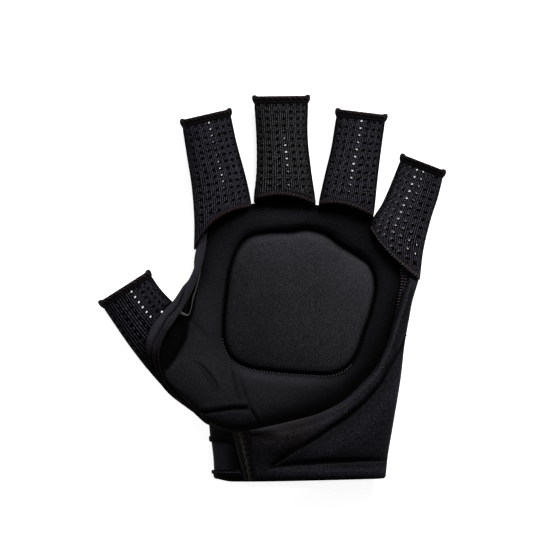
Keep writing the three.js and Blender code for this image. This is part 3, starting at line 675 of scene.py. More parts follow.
padRadius = closedRadius(padOutline)
cushionRadius = closedRadius(cushionOutline)


def liftAt(angle):
    # Eased from each direction of the table to the next.
    rows = np.arange(len(padRise["lift"]))
    place = np.interp(np.degrees(angle) % 360, padRise["direction"], rows)
    k = np.floor(place)
    return np.interp(k + smoothStep(place - k, 0, 1), rows, padRise["lift"])


def polar(x, y):
    return np.arctan2(y - middle[1], x - middle[0]), np.hypot(x - middle[0], y - middle[1])


def fromPolar(radius, turn):
    return middle[0] + radius * np.cos(turn), middle[1] + radius * np.sin(turn)


def readSection(section, share, column):
    rows = np.arange(len(section["share"]))
    places = np.interp(share, section["share"], rows)
    return np.interp(places, rows, section[column]) * 0.35 + readAt(section[column], places) * 0.65


def padTop(angle, share):
    return readSection(padSection, share, "top") + liftAt(angle) * share ** 2


def padPlace(x, y):
    # Direction, and the share of the way from the cushion's seam to the pad's edge.
    angle, radius = polar(x, y)
    inside = cushionRadius(angle) + cushionSeam
    return angle, np.clip((radius - inside) / (padRadius(angle) - inside), 0, 1)


def bandFront(x):
    return np.interp(x, bandEdge["x"], bandEdge["y"])


def palmRelief(x, y, share):
    # How far the lining dips or puffs from its plain section, and the shade painted into its creases.
    dip = np.zeros(np.shape(x))
    shade = np.zeros(np.shape(x))
    for crease in palm["creases"]:
        away, side, along = lineField(x, y, crease["line"])
        fade = smoothStep(along, 0, crease["fade"]) * smoothStep(1 - along, 0, crease["fade"])
        dip -= crease["depth"] * bell(away, crease["width"]) * fade
        beside = bell(away - 2.2 * crease["width"], 1.4 * crease["width"]) * (side > 0)
        dip += crease["ridge"] * beside * fade
        dark = bell(away, crease["width"] * 0.75)
        if "sharp" in crease:
            dark = np.exp(-(away / (crease["width"] * (0.95 + 0.2 * np.sin(along * 110)))) ** 4)
        shade = np.maximum(shade, crease["shade"] * dark * fade)
    waves = np.sin(x * 0.23 + 0.6 * np.sin(y * 0.11)) * np.sin(y * 0.19 + 1.3) * 0.7
    waves += np.sin(x * 0.51 - y * 0.37) * 0.3
    dip += palm["softFolds"] * waves * smoothStep(share, 0.05, 0.3) * smoothStep(1 - share, 0.0, 0.15)
    return dip, shade


def slitShare(x, y):
    # 1 inside the thumb slit, beyond its sewn edge, fading over a fraction of a millimetre.
    away, side, along = lineField(x, y, palm["slit"])
    beyond = np.where(side < 0, away, -away)
    ends = smoothStep(along, 0.0, 0.06) * (y > -15.2)
    return smoothStep(beyond, -0.1, 0.5) * ends


pump = {
    "around": 132, "rows": 14, "scale": 20.0, "pressure": 4.0, "frames": 20,
    "palmRise": 0.7, "cushionRise": 1.2,
}


def pumpUp(name, top, held, most):
    # Blows a coarse copy of a pad up as cloth, held at its seams. Gives how far its top rises, in mm.
    under = top[:, ::-1].copy()
    under[..., 2] = top[..., 2].min() - 4.0
    ring = np.concatenate([top, under], 1)
    heldAll = np.concatenate([held, np.ones(held.shape, bool)], 1)
    points, index = np.unique(np.round(ring.reshape(-1, 3), 3), axis=0, return_inverse=True)
    index = index.reshape(-1)
    faces = gridFaces(ring.shape[0], ring.shape[1], True, True)[0]
    sewn = [list(dict.fromkeys(face[::-1])) for face in index[faces].tolist()]
    mesh = bpy.data.meshes.new(name)
    mesh.from_pydata((points * 0.001 * pump["scale"]).tolist(), [], [face for face in sewn if len(face) > 2])
    pad = bpy.data.objects.new(name, mesh)
    bpy.context.scene.collection.objects.link(pad)
    seam = pad.vertex_groups.new(name="seam")
    seam.add(np.unique(index[heldAll.ravel()]).tolist(), 1.0, "REPLACE")
    cloth = pad.modifiers.new("cloth", "CLOTH")
    cloth.settings.vertex_group_mass = "seam"
    cloth.settings.use_pressure = True
    cloth.settings.uniform_pressure_force = pump["pressure"]
    cloth.settings.effector_weights.gravity = 0
    cloth.point_cache.frame_start = 1
    cloth.point_cache.frame_end = pump["frames"]
    for moment in range(1, pump["frames"] + 1):
        bpy.context.scene.frame_set(moment)
    blown = pad.evaluated_get(bpy.context.evaluated_depsgraph_get())
    filled = blown.to_mesh()
    moved = np.empty(len(filled.vertices) * 3, np.float32)
    filled.vertices.foreach_get("co", moved)
    blown.to_mesh_clear()
    bpy.data.objects.remove(pad)
    bpy.data.meshes.remove(mesh)
    bpy.context.scene.frame_set(1)
    rise = (moved.reshape(-1, 3)[:, 2] / pump["scale"] * 1000 - points[:, 2])[index].reshape(heldAll.shape)
    rise = np.maximum(rise[:, :held.shape[1]], 0)
    print(name, "pumped up by", round(float(rise.max()), 2), "mm, kept within", most, "mm")
    return rise * min(1, most / rise.max())


def curveWeights(f):
    return (((2 - f) * f - 1) * f / 2, (f * f * (3 * f - 5) + 2) / 2, ((4 - 3 * f) * f + 1) * f / 2,
            (f - 1) * f * f / 2)


def gridRead(grid, turn, share):
    # Smooth value of a grid round the glove's middle, at a direction and a share of the way out.
    around, rows = grid.shape
    u = turn / tau * around
    v = np.clip(share, 0, 1) * (rows - 1)
    i = np.floor(u).astype(int)
    j = np.minimum(np.floor(v).astype(int), rows - 2)
    total = 0
    for a, weightA in enumerate(curveWeights(u - i)):
        for b, weightB in enumerate(curveWeights(v - j)):
            total = total + weightA * weightB * grid[(i + a - 1) % around, np.clip(j + b - 1, 0, rows - 1)]
    return total


def plainCushion(x, y, share):
    soft = np.sin(x * 0.16 + 0.4) * np.sin(y * 0.14 - 0.8) * 0.12
    return readSection(cushionSection, share, "top") + soft * (1 - share ** 4)


def pumpGrid():
    return turns(pump["around"])[:, None], np.linspace(0, 1, pump["rows"])[None]


def pumpCushion():
    turn, share = pumpGrid()
    x, y = fromPolar(cushionRadius(turn) * share, turn)
    held = share + 0 * turn > 0.98
    return pumpUp("cushion", np.stack([x, y, plainCushion(x, y, share)], -1), held, pump["cushionRise"])


def pumpPalm():
    turn, share = pumpGrid()
    inside = cushionRadius(turn) + cushionSeam
    x, y = fromPolar(inside + share * (padRadius(turn) - inside), turn)
    held = (share < 0.02) | (share > 0.9) | (0 * turn > 1)
    for line in [crease["line"] for crease in palm["creases"] if crease["depth"] > 0.9] + [palm["slit"]]:
        held = held | (lineField(x, y, line)[0] < 2.2)
    return pumpUp("palm", np.stack([x, y, padTop(turn, share)], -1), held, pump["palmRise"])


cushionRise = pumpCushion()
palmRise = pumpPalm()


def palmHeight(x, y):
    angle, share = padPlace(x, y)
    return padTop(angle, share) + gridRead(palmRise, angle, share) + palmRelief(x, y, share)[0]


def makeRound(name, rows, look, finish, node):
    # A closed piece from rows round the glove's middle. rows hold x, y and z of its columns.
    points = np.stack([np.hstack(row) for row in rows], -1)
    faces, i, j = gridFaces(*points.shape[:2], True, False)
    return makePiece(name, points.reshape(-1, 3), faces, {"look": look[i % len(points), j]}, finish,
                     [node], weld=True)


def palmShade(p, x, y, compass, shares, width):
    # Painted shade on the lining: towards its edge, along the band, round the cushion and in the slit.
    where, strength, far = np.array(p["edgeShade"]).T
    fromEdge = (1 - shares) * width / np.interp(compass, where, far)
    falling = np.interp(compass, where, strength) * np.exp(-fromEdge ** 1.5)
    away = lineField(x, y, np.column_stack([bandEdge["x"], bandEdge["y"]]))[0]
    away = np.where(y < bandFront(x), 0, away) / between(p["bandShade"], x)
    falling = np.maximum(falling, np.exp(-away ** 2.0) * smoothStep(x, -42, -32))
    fromGroove = shares * width / between(p["grooveWidth"], compass)
    away, _, along = lineField(x, y, p["slit"])
    border = np.exp(-(away / between(p["slitShade"], along)) ** 4) * (y > -17.0) * (y < 10)
    heel = 0.35 * smoothStep(-y, 62.6, 64.0) * smoothStep(-x, 8, 12)
    shade = 1 - (1 - falling) * (1 - np.exp(-fromGroove ** 1.6) * 0.97)
    return np.maximum.reduce([shade, border, heel])


def makePalm(p):
    turn = turns(p["around"])[:, None]
    fine = p["across"] // 3
    shares = np.concatenate([np.linspace(0, 0.3, fine, endpoint=False),
                             np.linspace(0.3, 1, p["across"] - fine)])
    compass = np.degrees(np.arctan2(np.sin(turn), np.cos(turn)))
    inside = cushionRadius(turn) + cushionSeam
    outer = padRadius(turn)
    fromCushion = shares * (outer - inside)
    x, y = fromPolar(inside + fromCushion, turn)
    dip, creased = palmRelief(x, y, shares)
    z = padTop(turn, shares) + dip + gridRead(palmRise, turn, shares)
    slit = slitShare(x, y)
    z = z - slit * np.minimum(p["slitDepth"], z - p["slitFloor"])
    lens = (y > between(p["lens"], x)) * smoothStep(x, -2.5, 0) * smoothStep(-x, -14.5, -12)
    z = z - lens * p["lensDepth"]
    # painted shade: towards the edges, in the creases, in the slit and in the lens under the middle stall
    shade = np.maximum.reduce([palmShade(p, x, y, compass, shares, outer - inside), creased, slit, lens])
    # painted highlight: on the lower left, in a band below the cushion and beside it at the right
    paintedLight = 0.22 * smoothStep(-x, 8, 40) * smoothStep(-y, -6, 30) * smoothStep(shares, 0.1, 0.3) \
        + 0.75 * bell(fromCushion - 3.4, 2.6) * smoothStep(-y, 34, 42) * smoothStep(x, -26, -8) \
        + 0.15 * bell(fromCushion - 5, 3) * smoothStep(x, 44, 52)
    # the lining runs on under the stalls and the band, in painted shade
    reach = np.zeros(turn.shape)
    for begin, end, far in p["reach"]:
        within = smoothStep(compass, begin, begin + 4) * smoothStep(-compass, -end, 4 - end)
        reach = np.maximum(reach, far * within)
    out = reach * np.array([0.25, 0.5, 0.75, 1.0])
    lipX, lipY = fromPolar(outer + out, turn)
    z = np.hstack([z, z[:, -1:] - 1.3 * (out / 5.2) ** 2])
    shade = np.hstack([shade, np.repeat(np.maximum(shade[:, -1:], 0.7), 4, 1)])
    # the rounded edge and the underside
    under = np.linspace(1, 0, p["under"] + 1)
    underX, underY = fromPolar(inside + under * (outer - inside), turn)
    underZ = readSection(padSection, under, "under") + liftAt(turn) * under ** 2
    down = np.array([0.25, 0.5, 0.75])
    swell = (1 - (2 * down - 1) ** 2) * p["edgeSwell"]
    edgeX, edgeY = fromPolar(outer + swell + reach * np.array([0.95, 0.8, 0.5]), turn)
    edgeZ = z[:, -1:] + (underZ[:, :1] - z[:, -1:]) * down + reach * np.array([0.0, 0.1, 0.1])
    one = np.ones(turn.shape)
    rows = [[one * middle[0], x[:, :1], x, lipX, edgeX, underX, one * middle[0]],
            [one * middle[1], y[:, :1], y, lipY, edgeY, underY, one * middle[1]],
            [one * recessFloor, one * recessFloor, z, edgeZ, underZ, one * 0]]
    look = np.zeros(np.hstack(rows[0]).shape + (3,))
    # painted shade on the recess floor under the cushion
    look[:, :2, 0] = 1
    look[:, 2:2 + shade.shape[1], 0] = shade
    look[:, 2:2 + paintedLight.shape[1], 1] = paintedLight
    return makeRound("palm_shell", rows, look, palmLining, "back_pad")


makePalm(palm)
print("palm shell made")

gusset = {
    "columns": 60, "rows": 26, "thickness": 0.8, "sag": 1.6, "lipDip": 1.1,
    "inner": [[-42.6, -13.2, 10.6], [-43.6, -17.0, 10.9], [-44.2, -24.0, 11.0], [-46.8, -30.8, 11.0],
              [-50.6, -37.2, 10.6], [-54.6, -42.2, 10.0], [-55.6, -44.4, 9.4]],
    "outer": [[-47.6, -12.0, 12.6], [-50.6, -16.0, 13.0], [-54.4, -21.0, 13.6], [-57.6, -27.0, 14.2],
              [-59.2, -32.4, 13.8], [-59.4, -38.2, 12.4], [-57.6, -43.6, 10.6]],
}


def makeGusset(g):
    # Plain cloth panel between the thumb's web fold and the stitched seam on the lining.
    place = np.linspace(0, len(g["inner"]) - 1, g["columns"])[:, None]
    share = np.linspace(0, 1, g["rows"])[None]
    top = np.stack([readAt(inner, place) * (1 - share) + readAt(outer, place) * share
                    for inner, outer in zip(np.array(g["inner"]).T, np.array(g["outer"]).T)], -1)
    bow = np.sin(share * math.pi) * g["sag"] + g["lipDip"] * bell(share, 0.12)
    top[..., 2] -= bow * smoothStep(place, -0.5, 1.0)
    points = np.stack([top, top - (0, 0, g["thickness"])], 2).reshape(-1, 3)
    kept = np.ones((g["columns"] - 1, g["rows"] - 1), bool)
    faces, i, j, _ = shellFaces(g["columns"], g["rows"], False, kept)
    # painted shade: the gusset is kept nearly black in the thumb's hollow, darkest along its edges and at its
    # upper end
    shade = 0.89 + 0.11 * smoothStep(share, 0.5, 1.0) + 0.35 * bell(share, 0.1) \
        + 0.25 * smoothStep(-place, -2.0, 0.0)
    look = np.stack([np.clip(shade, 0, 1)[i, j], 0 * i, 0 * i], -1)
    piece = makePiece("thumb_gusset", points, faces, {"look": look}, palmLining)


makeGusset(gusset)

slitLip = {
    "path": [[-36.3, 11.6], [-36.5, 9.7], [-37.4, 4.8], [-38.9, -0.7], [-40.3, -5.0], [-41.1, -9.3],
             [-42.2, -12.9], [-43.4, -13.9], [-45.2, -13.3], [-47.0, -12.6]],
    "top": [13.8, 13.8, 13.4, 13.1, 13.0, 12.8, 12.6, 12.4, 12.4, 12.6],
    "half": [0.3, 0.33, 0.4, 0.52, 0.58, 0.5, 0.45, 0.55, 0.85, 1.1],
    "foot": 5.0, "steps": 120, "sides": 16,
}


def makeSlitLip(l):
    # Raw edge of the inner cloth that stands up along the thumb slit.
    place = np.linspace(0, len(l["path"]) - 1, l["steps"])
    x, y, top, half = (readAt(column, place) for column in (*np.array(l["path"]).T, l["top"], l["half"]))
    dx, dy = np.gradient(x), np.gradient(y)
    run = np.hypot(dx, dy)
    turn = turns(l["sides"])
    out = half[:, None] * np.cos(turn) * np.where(np.sin(turn) > 0, 1, 0.5)
    height = (top[:, None] + l["foot"]) / 2 + (top[:, None] - l["foot"]) / 2 * np.sin(turn)
    sections = np.stack([x[:, None] - (dy / run)[:, None] * out, y[:, None] + (dx / run)[:, None] * out,
                         height], -1)
    piece = sweep("slit_edge", sections, False, [], slitCloth)


makeSlitLip(slitLip)

edgeSeam = {
    "radius": 0.95, "out": 0.35, "drop": 2.0, "pitch": 1.4, "ridge": 0.2, "count": 840, "sides": 12,
    "tone": 0.3,
}


def makeEdgeSeam(e):
    # Overlocked seam that joins the padded shell to the stalls, the web fold and the band.
    turn = turns(e["count"])[:, None]
    side = turns(e["sides"])
    x, y = fromPolar(padRadius(turn) + e["out"], turn)
    z = padSection["top"][-1] + liftAt(turn) - e["drop"]
    phase = runAlong(np.hstack([x, y]))[:, None] / e["pitch"] + side / tau
    size = e["radius"] + (threadRidge(phase) - 0.5) * e["ridge"]
    sections = np.stack([x + size * np.cos(side) * np.cos(turn), y + size * np.cos(side) * np.sin(turn),
                         z + size * np.sin(side) * 1.5], -1)
    degrees = np.degrees(turn)
    # painted shade where the seam runs under the stalls; it is also darker beside the thumb's gusset
    darkened = smoothStep(degrees, 18, 24) * smoothStep(-degrees, -222, -214)
    tone = wrapTone(phase) * e["tone"] * (1 - darkened)
    return sweep("palm_edge_seam", sections, True, [tone, wrapTint(np.floor(phase), 2.0)], hemThread)


cushion = {"around": 420, "across": 44, "low": 7.3, "lightRight": 0.19, "lightUp": 0.2, "rimHighlight": 0.12}


def cushionTop(x, y):
    angle, radius = polar(x, y)
    share = np.clip(radius / cushionRadius(angle), 0, 1)
    return plainCushion(x, y, share) + gridRead(cushionRise, angle, share)


def makeCushion(c):
    turn = turns(c["around"])[:, None]
    shares = (1 - (1 - np.linspace(0, 1, c["across"])) ** 1.7)[::-1]
    x, y = fromPolar(cushionRadius(turn) * shares, turn)
    sideX, sideY = fromPolar(cushionRadius(turn) + np.array([[0.0, 0.15, 0.1]]), turn)
    one = np.ones(turn.shape)
    rows = [[one * middle[0], sideX, x], [one * middle[1], sideY, y],
            [one * c["low"], one * (c["low"] + np.arange(3)), cushionTop(x, y)]]
    look = np.zeros(np.hstack(rows[0]).shape + (3,))
    # painted shade on the cushion's base and side, and towards its rim
    look[:, :4, 0] = 1
    fromRim = (1 - shares) * cushionRadius(turn)
    rimShade = 0.9 + 0.5 * smoothStep(np.sin(turn), 0.2, 0.8) + 0.15 * smoothStep(-np.sin(turn), 0.2, 0.8)
    look[:, 4:, 0] = np.exp(-(fromRim / rimShade) ** 2)
    # painted light: lighter towards the upper right, with a painted highlight inside the upper rim
    look[:, 4:, 1] = (x - middle[0]) / 38 * c["lightRight"] + (y - middle[1]) / 36 * c["lightUp"] \
        + c["rimHighlight"] * bell(fromRim - 3.0, 2.0) * smoothStep(y, 4, 22)
    return makeRound("palm_cushion", rows, look, cushionLining, "centre_cushion")


makeCushion(cushion)
makeEdgeSeam(edgeSeam)
print("centre cushion made")

stallColumns = ["leftX", "leftY", "rightX", "rightY", "midZ", "height"]
stalls = {
    "index": {
        "rows": [[-46.3, 86.2, -21.8, 91.8, 8.6, 13], [-43.6, 69.0, -18.3, 75.0, 9.2, 13.4],
                 [-40.9, 51.6, -13.4, 56.6, 10.6, 14.6], [-39.6, 34.0, -10.6, 42.4, 12.4, 16],
                 [-39.9, 17.0, -9.6, 29.0, 13.2, 16.6]],
        "hemLeft": (-39.8, 19.4), "hemRight": (-9.9, 41.6), "rise": 5.6, "lean": 0,
        "seatLeft": (-39.8, 19.4), "seatRight": (-9.9, 41.6),
        "cells": 18, "pitch": 3.44, "column": [1.3, 2.1, 2.5, 1.9, 1.4],
        "olive": 0.0, "glint": 0.5, "shade": 0.0,
        "hemTone": 0.58, "baseTone": 0.95, "baseTint": 0.4,
        "slip": [-0.41, -0.92, -0.4, -1.4, -1.7], "slipAlong": [1.05, 1.38, 1.05, 1.65, 1.8],
        "spread": [2.24, 2.2, 2.08, 1.97, 1.97], "sideAlong": [0.6, 0.51, 0.49, 0.53, 0.53],
    },
    "middle": {
        "rows": [[-9.2, 98.3, 18.5, 98.6, 8.6, 13], [-7.9, 78.0, 18.2, 78.0, 9.2, 13.4],
                 [-7.8, 61.0, 19.9, 61.0, 10.6, 14.6], [-9.2, 45.6, 22.1, 45.2, 12.6, 16],
                 [-9.4, 36.0, 22.6, 36.0, 13.4, 16.6]],
        "hemLeft": (-9.3, 45.0), "hemRight": (22.5, 42.3), "rise": 3.7, "lean": 0,
        "seatLeft": (-9.3, 43.4), "seatRight": (22.5, 42.3),
        "cells": 17, "pitch": 3.45, "column": [0.8, 1.3, 1.8, 1.9, 2.0],
        "olive": 1.0, "glint": 0.5, "shade": 0.0,
        "hemTone": 0.62, "baseTone": 0.85, "baseTint": 0.25,
        "slip": [-1.15, -1.3, 0.1, 1.25, 0.5], "slipAlong": [1.7, 1.32, 0.98, 1.35, 1.0],
        "spread": [2.02, 2.14, 2.14, 2.0, 2.0], "sideAlong": [0.57, 0.45, 0.44, 0.45, 0.45],
    },
    "ring": {
        "rows": [[33.6, 91.8, 58.3, 88.8, 8.6, 13], [30.7, 73.0, 55.8, 71.0, 9.2, 13.4],
                 [27.5, 59.4, 54.0, 56.4, 10.6, 14.6], [24.4, 45.6, 52.4, 41.2, 12.6, 16],
                 [23.2, 37.0, 51.0, 31.9, 13.4, 16.6]],
        "hemLeft": (23.2, 42.3), "hemRight": (52.4, 36.0), "rise": 3.2, "lean": -0.2,
        "seatLeft": (23.2, 42.3), "seatRight": (52.4, 36.0),
        "cells": 18, "pitch": 3.71, "column": [0.5, 0.1, -0.3, -0.3, -0.3],
        "olive": 0.15, "glint": 0.6, "shade": 0.0,
        "hemTone": 0.7, "baseTone": 0.9, "baseTint": 0.25,
        "slip": [0.24, 1.05, 0.24, 1.35, 1.48], "slipAlong": [1.03, 1.22, 0.94, 1.18, 1.6],
        "spread": [2.25, 2.26, 2.21, 2.09, 2.05], "sideAlong": [0.59, 0.52, 0.5, 0.53, 0.55],
    },
    "little": {
        "rows": [[67.0, 68.5, 88.3, 60.3, 8.6, 13], [62.0, 55.6, 84.8, 46.4, 9.0, 13.4],
                 [56.6, 43.4, 81.2, 35.4, 10.2, 14.2], [51.0, 34.2, 77.4, 19.8, 12.0, 15.4],
                 [49.6, 24.0, 75.4, 3.0, 13.4, 16.4]],
        "hemLeft": (50.2, 31.6), "hemRight": (75.2, 4.2), "rise": -2.2, "lean": -0.4,
        "seatLeft": (50.2, 31.6), "seatRight": (75.0, 5.0),
        "cells": 18, "pitch": 3.87, "column": [-2.8, -2.9, -2.8, -2.3, -1.6],
        "olive": 0.1, "glint": 1.0, "shade": 0.0,
        "hemTone": 0.27, "baseTone": 1.25, "baseTint": -0.1,
        "slip": [0.36, 0.17, 0.08, -0.08, -0.2], "slipAlong": [0.97, 0.85, 1.01, 1.24, 1.6],
        "spread": [0.94, 1.52, 1.4, 0.76, 0.5], "sideAlong": [0.29, 0.78, 0.72, 0.44, 0.0],
    },
    "thumb": {
        "rows": [[-88.3, -6.8, -63.6, 8.9, 8.4, 13], [-81.0, -17.6, -57.4, -0.2, 8.8, 13.4],
                 [-72.4, -30.0, -50.6, -7.4, 9.6, 14.2], [-62.8, -42.4, -42.8, -15.4, 10.2, 15],
                 [-56.8, -49.4, -37.0, -22.6, 10.2, 15]],
        "hemLeft": (-62.8, -42.0), "hemRight": (-50.6, -6.4), "rise": 6.7, "lean": 0,
        "seatLeft": (-55.4, -47.6), "seatRight": (-40.0, -13.4),
        "cells": 16, "pitch": 3.3, "column": [2.3, 2.4, 2.6, 2.9, 3.3],
        "olive": 0.0, "glint": 0.35, "shade": 0.24,
        "hemTone": 0.7, "baseTone": 1.0, "baseTint": 0.3,
        "slip": [-0.62, -0.56, -0.69, -1.2, -1.6], "slipAlong": [0.86, 0.71, 0.94, 1.3, 1.6],
        "spread": [2.9, 2.94, 2.78, 2.78, 2.78], "sideAlong": [0.74, 0.53, 0.64, 0.64, 0.64],
    },
}
stallKnitCut = {
    "perCell": 12, "alongCell": 6, "ribs": 4, "wall": 1.2, "bevel": 0.34,
    "holeHalf": (2, 1), "holeRadius": 0.84, "holeMargin": 0.5,     # half sizes in grid steps, the rest in mm
    "ribHeight": 0.2, "roundness": 2.4, "palmWallFrom": 14.5, "tipHem": 3.4, "baseHem": 2.2,
    "solidWall": 1.6, "hemStart": tau / 22, "plainBack": 5.0,
    "tuck": 0.9, "tuckInset": 0.75, "tuckWall": 0.7,      # the knit that runs on under its hems
    "baseFade": 1.2, "tipFade": 0.8, "holePuff": 0.06,
}
cut = stallKnitCut


def stallPoint(stall, place, angle, inset):
    rows = stall["named"]
    leftX, leftY, rightX, rightY, midZ, height = (readAt(rows[c], place) for c in stallColumns)
    width = np.hypot(rightX - leftX, rightY - leftY)
    u, v = sectionAt(angle, width / 2 - inset, height / 2 - inset, cut["roundness"])
    return np.stack(np.broadcast_arrays(
        (leftX + rightX) / 2 + (rightX - leftX) / width * u,
        (leftY + rightY) / 2 + (rightY - leftY) / width * u,
        midZ + v,
    ), -1)


def fromLine(x, y, start, end):
    length = math.dist(start, end)
    dx = (end[0] - start[0]) / length
    dy = (end[1] - start[1]) / length
    return ((x - start[0]) * dx + (y - start[1]) * dy) / length, (y - start[1]) * dx - (x - start[0]) * dy


def stallEnd(stall, angle):
    palmSide = np.sin(angle) >= -1e-9

    def isPast(place):
        outside = stallPoint(stall, place, angle, 0)
        inside = stallPoint(stall, place, angle, cut["solidWall"])
        share, offset = fromLine(outside[..., 0], outside[..., 1], stall["hemLeft"], stall["hemRight"])
        s = np.clip(share, 0, 1)
        pastHem = offset < stall["rise"] * 4 * s * (1 - s) * (1 + stall["lean"] * (2 * s - 1))
        pastSeat = fromLine(outside[..., 0], outside[..., 1], stall["seatLeft"], stall["seatRight"])[1] < 0
        meets = np.zeros(np.shape(angle), bool)
        for p in (outside, inside):
            turn, radius = polar(p[..., 0], p[..., 1])
            meets |= radius < padRadius(turn) + gap
        return np.where(palmSide, pastHem, pastSeat) | (meets & (outside[..., 2] < cut["palmWallFrom"]))

    high = np.full(np.shape(angle), len(stall["rows"]) + 1.0)
    return bisect(isPast, np.zeros(np.shape(angle)), high)


def arcAngles(stall, place):
    # Angles round the section against even steps of its rim, at one place.
    angle = np.linspace(0, tau, 1441)
    p = stallPoint(stall, place, angle, 0)
    steps = np.linalg.norm(np.diff(p, axis=0), axis=1)
    rim = np.concatenate([[0], np.cumsum(steps)])
    return rim / rim[-1], angle, rim[-1]


def lengthAlong(stall):
    places = np.linspace(0, len(stall["rows"]), 400)
    return runAlong((stallPoint(stall, places, 0.0, 0) + stallPoint(stall, places, math.pi, 0)) / 2), places


def cutHoles(stall, u, s, kept, endLength, start, step, width):
    # Opens the mesh holes: moves the grid's points onto their rims and drops the cells inside.
    halfU, halfS = cut["holeHalf"]
    rim = [(du, ds) for du in range(-halfU, halfU + 1) for ds in range(-halfS, halfS + 1)
           if abs(du) == halfU or abs(ds) == halfS]
    edge, light, bevelU, bevelS = np.zeros((4,) + u.shape)
    for cell in range(stall["cells"]):
        middleU = cell * cut["perCell"] + cut["perCell"] // 2
        reach = endLength[middleU - halfU - 1:middleU + halfU + 2].min()
        margin = cut["holeRadius"] + cut["holeMargin"] + (cell >= stall["cells"] // 2) * cut["plainBack"]
        for row in range(cut["alongCell"] // 2 - 1, u.shape[1], cut["alongCell"]):
            middleS = start + row * step
            if middleS + margin > reach:
                continue
            kept[middleU - halfU:middleU + halfU, row - halfS:row + halfS] = False
            for du, ds in rim:
                size = math.hypot(du / halfU, ds / halfS)
                x, y = du / halfU / size, ds / halfS / size
                lit = max(0.0, (x - y) / math.sqrt(2))
                at = (middleU + du, row + ds)
                u[at] = middleU + x * cut["holeRadius"] / width
                s[at] = middleS + y * cut["holeRadius"]
                edge[at] = 1
                light[at] = lit
                bevelU[at] = -lit * x * cut["bevel"] / width
                bevelS[at] = -lit * y * cut["bevel"]
    return edge, light, bevelU, bevelS


def makeStall(name, stall):
    cells = stall["cells"]
    around = cells * cut["perCell"]
    lengths, places = lengthAlong(stall)
    fraction, table, rim = arcAngles(stall, 2.0)
    start = cut["tipHem"] + gap
    baseAngle = np.interp(np.arange(around) / around, fraction, table)
    side = cut["hemStart"] / 2
    onHem = (baseAngle > side) & (baseAngle < math.pi - side) & (name != "thumb")
    endLength = np.interp(stallEnd(stall, baseAngle), places, lengths) - gap - onHem * cut["baseHem"]
    step = stall["pitch"] / cut["alongCell"]
    rows = int(np.ceil((endLength.max() - start) / step)) + 1
    u = np.arange(around)[:, None] + np.zeros((around, rows))
    s = start + np.arange(rows) * step + np.zeros((around, rows))
    kept = s[:, :-1] < np.maximum(endLength, np.roll(endLength, -1))[:, None] - 0.05
    holes = cutHoles(stall, u, s, kept, endLength, start, step, rim / around)
    s = np.minimum(s, endLength[:, None])
    # the columns of holes lean and slip a little, more so on the back
    run = np.linspace(start, endLength.max(), 5)
    column, slip, slipAlong, spread, sideAlong = (
        np.interp(s, run, stall[key]) for key in ("column", "slip", "slipAlong", "spread", "sideAlong"))
    share = u / around
    frontHome = (round(cells / 4 - 0.5) + 0.5) / cells
    backHome = (round(cells * 0.75 - 0.5) + 0.5) / cells
    turned = np.sin(tau * share)
    onBack = np.maximum(-turned, 0)
    close = np.clip((endLength[:, None] - s) / cut["baseFade"], 0, 1) \
        * np.clip((s - start) / cut["tipFade"], 0, 1)
    aside = 1 - bell((share - backHome) * rim, 2.4)
    s = s - (slipAlong + sideAlong * aside) * onBack * close
    share = share - (column / rim - 0.25 + frontHome) * np.maximum(turned, 0) \
        + ((column + slip) / rim - backHome + 0.75) * onBack \
        + spread / rim * np.sin(2 * tau * (share - backHome)) * smoothStep(onBack, 0, 0.3)
    puff = np.cos(tau * u / cut["perCell"] * cut["ribs"]) * cut["ribHeight"] * (1 - holes[0]) * close \
        + holes[0] * cut["holePuff"]
    # two more rows at the tip and one at the base, tucked in under the hems
    more = ((0, 0), (2, 1))
    share, u, s, turned, puff = (np.pad(grid, more, "edge") for grid in (share, u, s, turned, puff))
    holeEdge, holeLight, bevelU, bevelS = (np.pad(grid, more) for grid in holes)
    inset = np.full(u.shape, cut["wall"])
    s[:, :2] = start - cut["tuck"], start - 0.05
    s[:, -1] = endLength + onHem * cut["tuck"]
    for where in ((slice(None), slice(0, 2)), (onHem, -1)):
        puff[where] = -cut["tuckInset"]
        inset[where] = cut["tuckInset"] + cut["tuckWall"]
    kept = np.hstack([np.ones((around, 2), bool), kept, (onHem & np.roll(onHem, -1))[:, None]])
    outer = stallPoint(stall, np.interp(s, lengths, places), np.interp(share % 1, fraction, table), -puff)
    inner = stallPoint(stall, np.interp(s + bevelS, lengths, places),
                       np.interp((share + bevelU / around) % 1, fraction, table), inset)
    faces, i, j, layer = shellFaces(around, s.shape[1], True, kept)
    at = np.stack([(u / cut["perCell"])[i % around, j] + (i >= around) * cells, s[i % around, j], layer], -1)
    # painted shade: round the holes, towards the base hem and, on the thumb, towards its base
    paintedShade = holeEdge * 0.25 + stall["shade"] + 0.35 * np.exp(-np.maximum(endLength[:, None] - s, 0) / 5) \
        + 3 * stall["shade"] * smoothStep(s, 22, 42)
    # a painted glint on the lit rim of each hole, stronger towards the base and only on the upper side
    glint = stall["glint"] * holeLight * np.interp(s, run[[0, -1]], [0.45, 1.0])
    glint = glint * smoothStep(turned, 0.45, 0.9)
    # the inside layer gets painted shade too
    look = np.stack([np.clip(paintedShade[i % around, j] + layer * 0.6, 0, 1), stall["olive"] + 0.0 * i,
                     glint[i % around, j]], -1)
    piece = makePiece(name + "_sleeve", np.stack([outer, inner], 2).reshape(-1, 3), faces,
                      {"clothAt": at, "look": look}, stallKnit, [name + "_stall"], weld=True)
    return piece, rim, endLength


